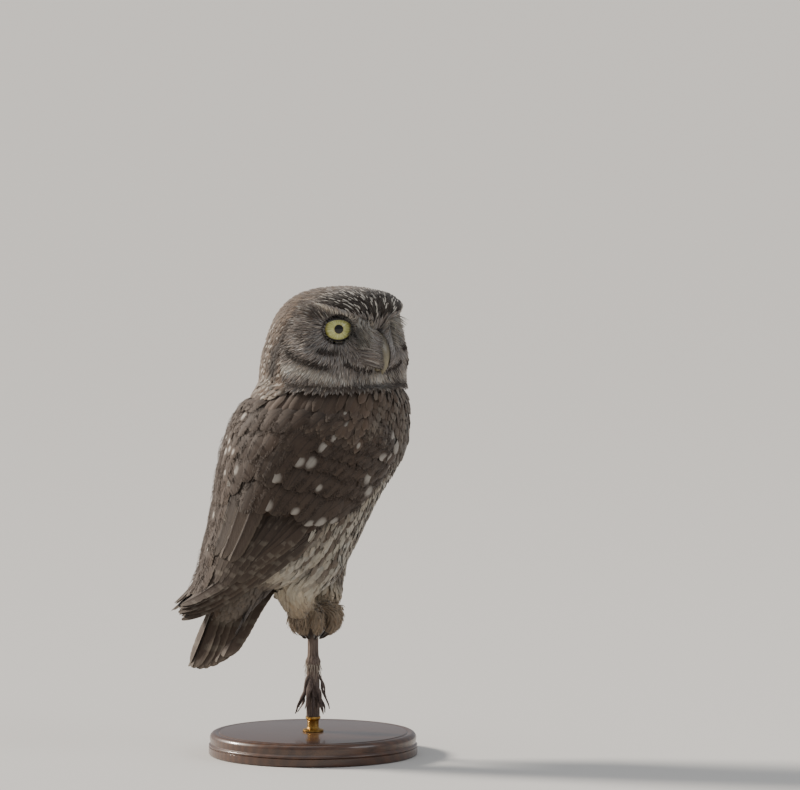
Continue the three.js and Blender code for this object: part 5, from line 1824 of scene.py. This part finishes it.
def makeClaws():
    horn = [paint(70, 60, 52), paint(40, 34, 31), paint(26, 23, 22)]
    material = hornMaterial("clawHorn", horn, 0.35, 1500)
    for side, word in bothSides:
        for index, angle in enumerate(legs[side]["toes"]):
            scale = toeReach(angle)
            path = toePath(angle)
            way = unit(path[-1] - path[-2])
            claw = [path[-1] - way * 0.6, path[-1] + way * 0.3, around(angle, 6.2 * scale, 1.3),
                    around(angle, 4.9, 0.1), around(angle, 3.7, -0.7)]
            made = taperedTube(f"talon{word}{index + 1}", claw, [1.5, 1.6, 1.3, 0.85, 0.3], 14, 22, material)
            finishPiece(made, (f"claw_{word.lower()}_{index + 1}",))


makeEyes()
makeLids()
makeBill()
makeClaws()


# The perch: a ribbed stem swept along its line by a node tree, its knot, fibres and dry bracts
perch = {"foot": 20, "knot": 49, "bracts": 15, "ribs": 14}
stemRows = [(20, 3.4), (37, 3.3), (46, 3.1), (49, 3.9), (52, 2.9), (62, 2.7), (77, 2.5)]


def makeSweepTree():  # lines with a width become ribbed, closed tubes
    inputs = [("Sides", "Int"), ("Ribs", "Int"), ("RibDepth", "Float"), ("Material", "Material")]
    net, named, given = newTree("ribbedTube", inputs)
    line = net.node("GeometryNodeMeshToCurve", {}, {"Mesh": given["Geometry"]})
    width = net.node("GeometryNodeInputNamedAttribute", {"data_type": "FLOAT"}, {"Name": "width"})
    values = {"Resolution": given["Sides"], "Radius": 1.0}
    circle = net.node("GeometryNodeCurvePrimitiveCircle", {}, values)
    place = net.node("GeometryNodeInputPosition")
    x, y, _ = net.parts(place)
    rib = net.wave(net.math("ARCTAN2", y, x) * given["Ribs"]) * given["RibDepth"]
    values = {"Geometry": circle, "Offset": net.scaled(place, rib)}
    section = net.node("GeometryNodeSetPosition", {}, values)
    values = {"Curve": line, "Profile Curve": section, "Scale": width, "Fill Caps": True}
    closeTree(net, net.node("GeometryNodeCurveToMesh", {}, values), given["Material"])
    return net, named


sweepTree = makeSweepTree()


def sweep(name, paths, widths, sides, material, ribs=0, ribDepth=0.0):
    points = np.concatenate(paths)
    edges, start = [], 0
    for path in paths:
        edges += [(start + i, start + i + 1) for i in range(len(path) - 1)]
        start += len(path)
    made = makeObject(name, points, [], edges=edges)
    giveValues(made.data, "width", "FLOAT", np.concatenate(widths) * mm)
    growTree(made, *sweepTree, Sides=sides, Ribs=ribs, RibDepth=ribDepth, Material=material)
    return evaluated(made)


def dryMaterial(name, dark, light):
    net = newMaterial(name)
    shader = {"Roughness": 0.85, "Specular IOR Level": 0.3}
    place = net.place()
    x, y, z = net.parts(place)
    strands = net.noise(net.point(x * 2400, y * 2400, z * 160), 1.0, 4, 0.6)
    cloud = net.noise(place, 140, 3)
    tone = net.blend(net.ease(strands * 0.65 + cloud * 0.35, 0.32, 0.68), dark, light)
    return feed(net, {**shader, "Base Color": tone, "Normal": bumped(net, strands, 0.7, 0.4 * mm)})


def makePerch():
    random = default_rng(151)
    bark = dryMaterial("dryStem", paint(58, 48, 44), paint(132, 116, 106))
    husk = dryMaterial("dryBracts", paint(46, 38, 36), paint(104, 90, 84))
    z = np.linspace(perch["foot"], 77, 70)
    radius = smoothRows(stemRows)(z)[0]
    bend = np.column_stack([0 * z, 0 * z, z])
    stem = sweep("stem", [bend], [radius], 56, bark, perch["ribs"], 0.05)
    finishPiece(stem, ("perch_stem",))
    paths, widths = [], []
    for index in range(34):  # frayed fibres at the knot
        angle = 360 * index / 34 + random.uniform(-6, 6)
        drop = random.uniform(3, 9)
        flare = random.uniform(0.6, 2.2)
        top = perch["knot"] + random.uniform(-1.5, 1.5)
        u = np.linspace(0, 1, 8)
        turn = np.radians(angle + 12 * u * random.uniform(-1, 1))
        reach = 3.4 + flare * u**1.5
        paths.append(np.column_stack([np.cos(turn) * reach, np.sin(turn) * reach, top - drop * u]))
        widths.append(random.uniform(0.16, 0.3) * (1 - 0.7 * u))
    pale = dryMaterial("paleFibres", paint(128, 116, 104), paint(188, 178, 164))
    fibres = sweep("stemFibres", paths, widths, 6, pale)
    finishPiece(fibres)
    share = np.linspace(0, 1, 14)
    centre, sides, outs, half = [], [], [], []
    for index in range(perch["bracts"]):
        angle = 360 * index / perch["bracts"] * 3.2 + random.uniform(-14, 14)
        start = perch["knot"] - 4 - 4.2 * (index % 3) - random.uniform(0, 2)
        end = max(start - random.uniform(14, 20), perch["foot"] + 1.5)
        flare = random.uniform(3.6, 6.8)
        turn = np.radians(angle + 22 * share * random.uniform(-1, 1))
        reach = 2.6 + 1.2 * ease(share, 0, 0.3) + flare * share**1.3 + 0.5 * np.sin(share * 9 + index)
        radial = np.column_stack([np.cos(turn), np.sin(turn), 0 * turn])
        line = radial * reach[:, None] + np.array([0, 0, 1]) * mix(start, end, share)[:, None]
        ways = unit(np.gradient(line, axis=0))
        across = unit(np.cross(ways, radial))
        twist = random.uniform(-0.9, 0.9) * share[:, None]
        out = np.cross(across, ways)
        centre.append(line)
        sides.append(across * np.cos(twist) + out * np.sin(twist))
        outs.append(out * np.cos(twist) - across * np.sin(twist))
        width = random.uniform(1.3, 2.4) * np.interp(share, [0, 0.25, 0.6, 1], [0.55, 1, 0.8, 0.12])
        half.append(width * (1 + 0.18 * np.sin(share * 17 + index * 2)))
    count = len(centre)
    lines = {
        "centre": np.array(centre), "side": np.array(sides), "out": np.array(outs), "half": np.array(half),
        "thick": 0.25, "camber": 0.5, "share": share[None],
        "size": np.tile([18.0, 2, 0.5], (count, 1)),
        "patch": rowPatches(count, 0.5, 0.9 / count),
    }
    bracts = vaneMesh("stemBracts", {**lines, **featherPlan(count)}, "vane", husk)
    finishPiece(bracts)


# Stand: a turned wooden disc with a polished edge, and a brass rod with its ferrule
stand = {"radius": 55, "height": 12, "rodRadius": 3, "rodHeight": 8, "ferruleRadius": 5.5, "cup": 4}


def lathe(name, profile, segments, material):
    turn = turns(segments)
    points = np.array([[(r * math.cos(a), r * math.sin(a), z) for a in turn] for r, z in profile])
    return facesOut(makeObject(name, *closedTube(points), material))


def arc(centre, radius, first, last, count=8):
    turn = np.radians(np.linspace(first, last, count))
    return [(centre[0] + radius * math.cos(a), centre[1] + radius * math.sin(a)) for a in turn]


def woodMaterial():
    shader = {"Roughness": 0.4, "Coat Weight": 0.6, "Coat Roughness": 0.12}
    net = newMaterial("turnedWood")
    x, y, z = net.parts(net.place())
    warp = net.noise(net.point(x * 12, y * 12, z * 40), 1.0, 2)
    ringCount = net.wave((y + 0.05 * x + warp * 0.012) * 1500 + z * 300)
    pores = net.noise(net.point(x * 90, y * 2200, z * 2200), 1.0, 3)
    share = net.ease(ringCount * 0.12 + pores * 0.88, 0.15, 0.85)
    tone = net.blend(share, paint(56, 34, 22), paint(88, 56, 35))
    return feed(net, {**shader, "Base Color": tone, "Normal": bumped(net, pores, 0.12, 0.2 * mm)})


def makeStand():
    radius, height = stand["radius"], stand["height"]
    rim = arc((radius - 1.2, 1.2), 1.2, -90, 0) + [(radius, 4.2)] + arc((radius - 0.7, 5.2), 0.7, -70, 70, 6)
    rim += [(radius - 0.9, 6.4)] + arc((radius - 3.4, height - 3), 2.9, 0, 80, 10)
    rim += [(radius - 4.4, height - 0.35), (radius - 5.2, height - 0.6), (radius - 5.8, height - 0.1)]
    profile = [(0.01, 0), *rim, (radius - 6.6, height), (9, height), (0.01, height)]
    base = lathe("standBase", profile, 160, woodMaterial())
    finishPiece(base, ("stand_base",), 30)
    net = newMaterial("agedBrass")
    cloud = net.noise(net.place(), 260, 4, 0.6)
    tone = net.blend(net.ease(cloud, 0.35, 0.75), paint(196, 158, 88), paint(140, 104, 56))
    brass = feed(net, {"Metallic": 1.0, "Base Color": tone, "Roughness": 0.2 + 0.25 * cloud})
    low, high = height + 0.05, height + stand["rodHeight"] - 0.05
    wide, thin, cup = stand["ferruleRadius"], stand["rodRadius"], stand["cup"]
    profile = [(0.01, low), (wide - 0.2, low), (wide, low + 0.2), (wide, low + 0.9), (wide - 0.3, low + 1.2)]
    profile += [(thin + 0.6, low + 1.6), (thin, low + 2.3), (thin, high - 2.2), (thin + 0.5, high - 1.4)]
    profile += [(cup, high - 1), (cup, high), (0.01, high)]
    rod = lathe("standRod", profile, 64, brass)
    finishPiece(rod, ("stand_rod",), 35)


makePerch()
makeStand()


# The studio: a wide, flat pale floor, soft lights, and the camera at the photo's angle
view = {"azimuth": -22, "elevation": 5, "distance": 4000, "lens": 342, "scale": 1.9,
        "width": 800, "height": 790, "axis": 313, "grip": 637}


def viewAxes():
    a, e = math.radians(view["azimuth"]), math.radians(view["elevation"])
    right = Vector((math.cos(a), math.sin(a), 0))
    backward = Vector((math.sin(a) * math.cos(e), -math.cos(a) * math.cos(e), math.sin(e)))
    return right, backward.cross(right), backward


viewRight, viewUp, viewBack = viewAxes()
viewTarget = Vector((0, 0, gripZ)) + viewRight * ((view["width"] / 2 - view["axis"]) / view["scale"])
viewTarget = (viewTarget + viewUp * ((view["grip"] - view["height"] / 2) / view["scale"])) * mm


def makeCamera():
    camera = placed("camera", bpy.data.cameras.new("camera"))
    camera.data.lens = view["lens"]
    camera.data.clip_start, camera.data.clip_end = 0.1, 50
    camera.location = viewTarget + viewBack * view["distance"] * mm
    camera.rotation_mode = "QUATERNION"
    camera.rotation_quaternion = (-viewBack).to_track_quat("-Z", "Y")
    bpy.context.scene.camera = camera


def makeLight(name, kind, offset, power, tone, size):  # offset right, up and towards the camera, in metres
    light = bpy.data.lights.new(name, kind)
    light.energy = power
    light.color = tone
    if kind == "SUN":
        light.angle = size
    else:
        light.shape = "DISK"
        light.size = size
    lamp = placed(name, light)
    away = viewRight * offset[0] + viewUp * offset[1] + viewBack * offset[2]
    lamp.location = viewTarget + away
    lamp.rotation_mode = "QUATERNION"
    lamp.rotation_quaternion = away.to_track_quat("Z", "Y")


def makeStudio():
    shader = {"Roughness": 0.9, "Base Color": (0.62, 0.61, 0.59, 1)}
    material = feed(newMaterial("paleFloor"), shader)
    far = 4e4
    corners = [(-far, -far, 0), (far, -far, 0), (far, far, 0), (-far, far, 0)]
    makeObject("floor", corners, [(0, 1, 2, 3)], material)
    world = bpy.data.worlds.new("paleSky")
    bpy.context.scene.world = world
    world.use_nodes = True
    sky = world.node_tree.nodes["Background"].inputs
    sky["Color"].default_value = (0.92, 0.95, 1, 1)
    sky["Strength"].default_value = 0.4
    makeLight("keyLight", "SUN", (-0.85, 0.52, -0.26), 6.5, (1, 0.92, 0.82), 0.2)
    makeLight("fillLight", "AREA", (1.7, 0.9, 1.0), 10, (0.95, 0.97, 1), 1.2)
    makeLight("topLight", "AREA", (-0.3, 1.7, 0.3), 7, (1, 0.98, 0.95), 1.6)


makeCamera()
makeStudio()
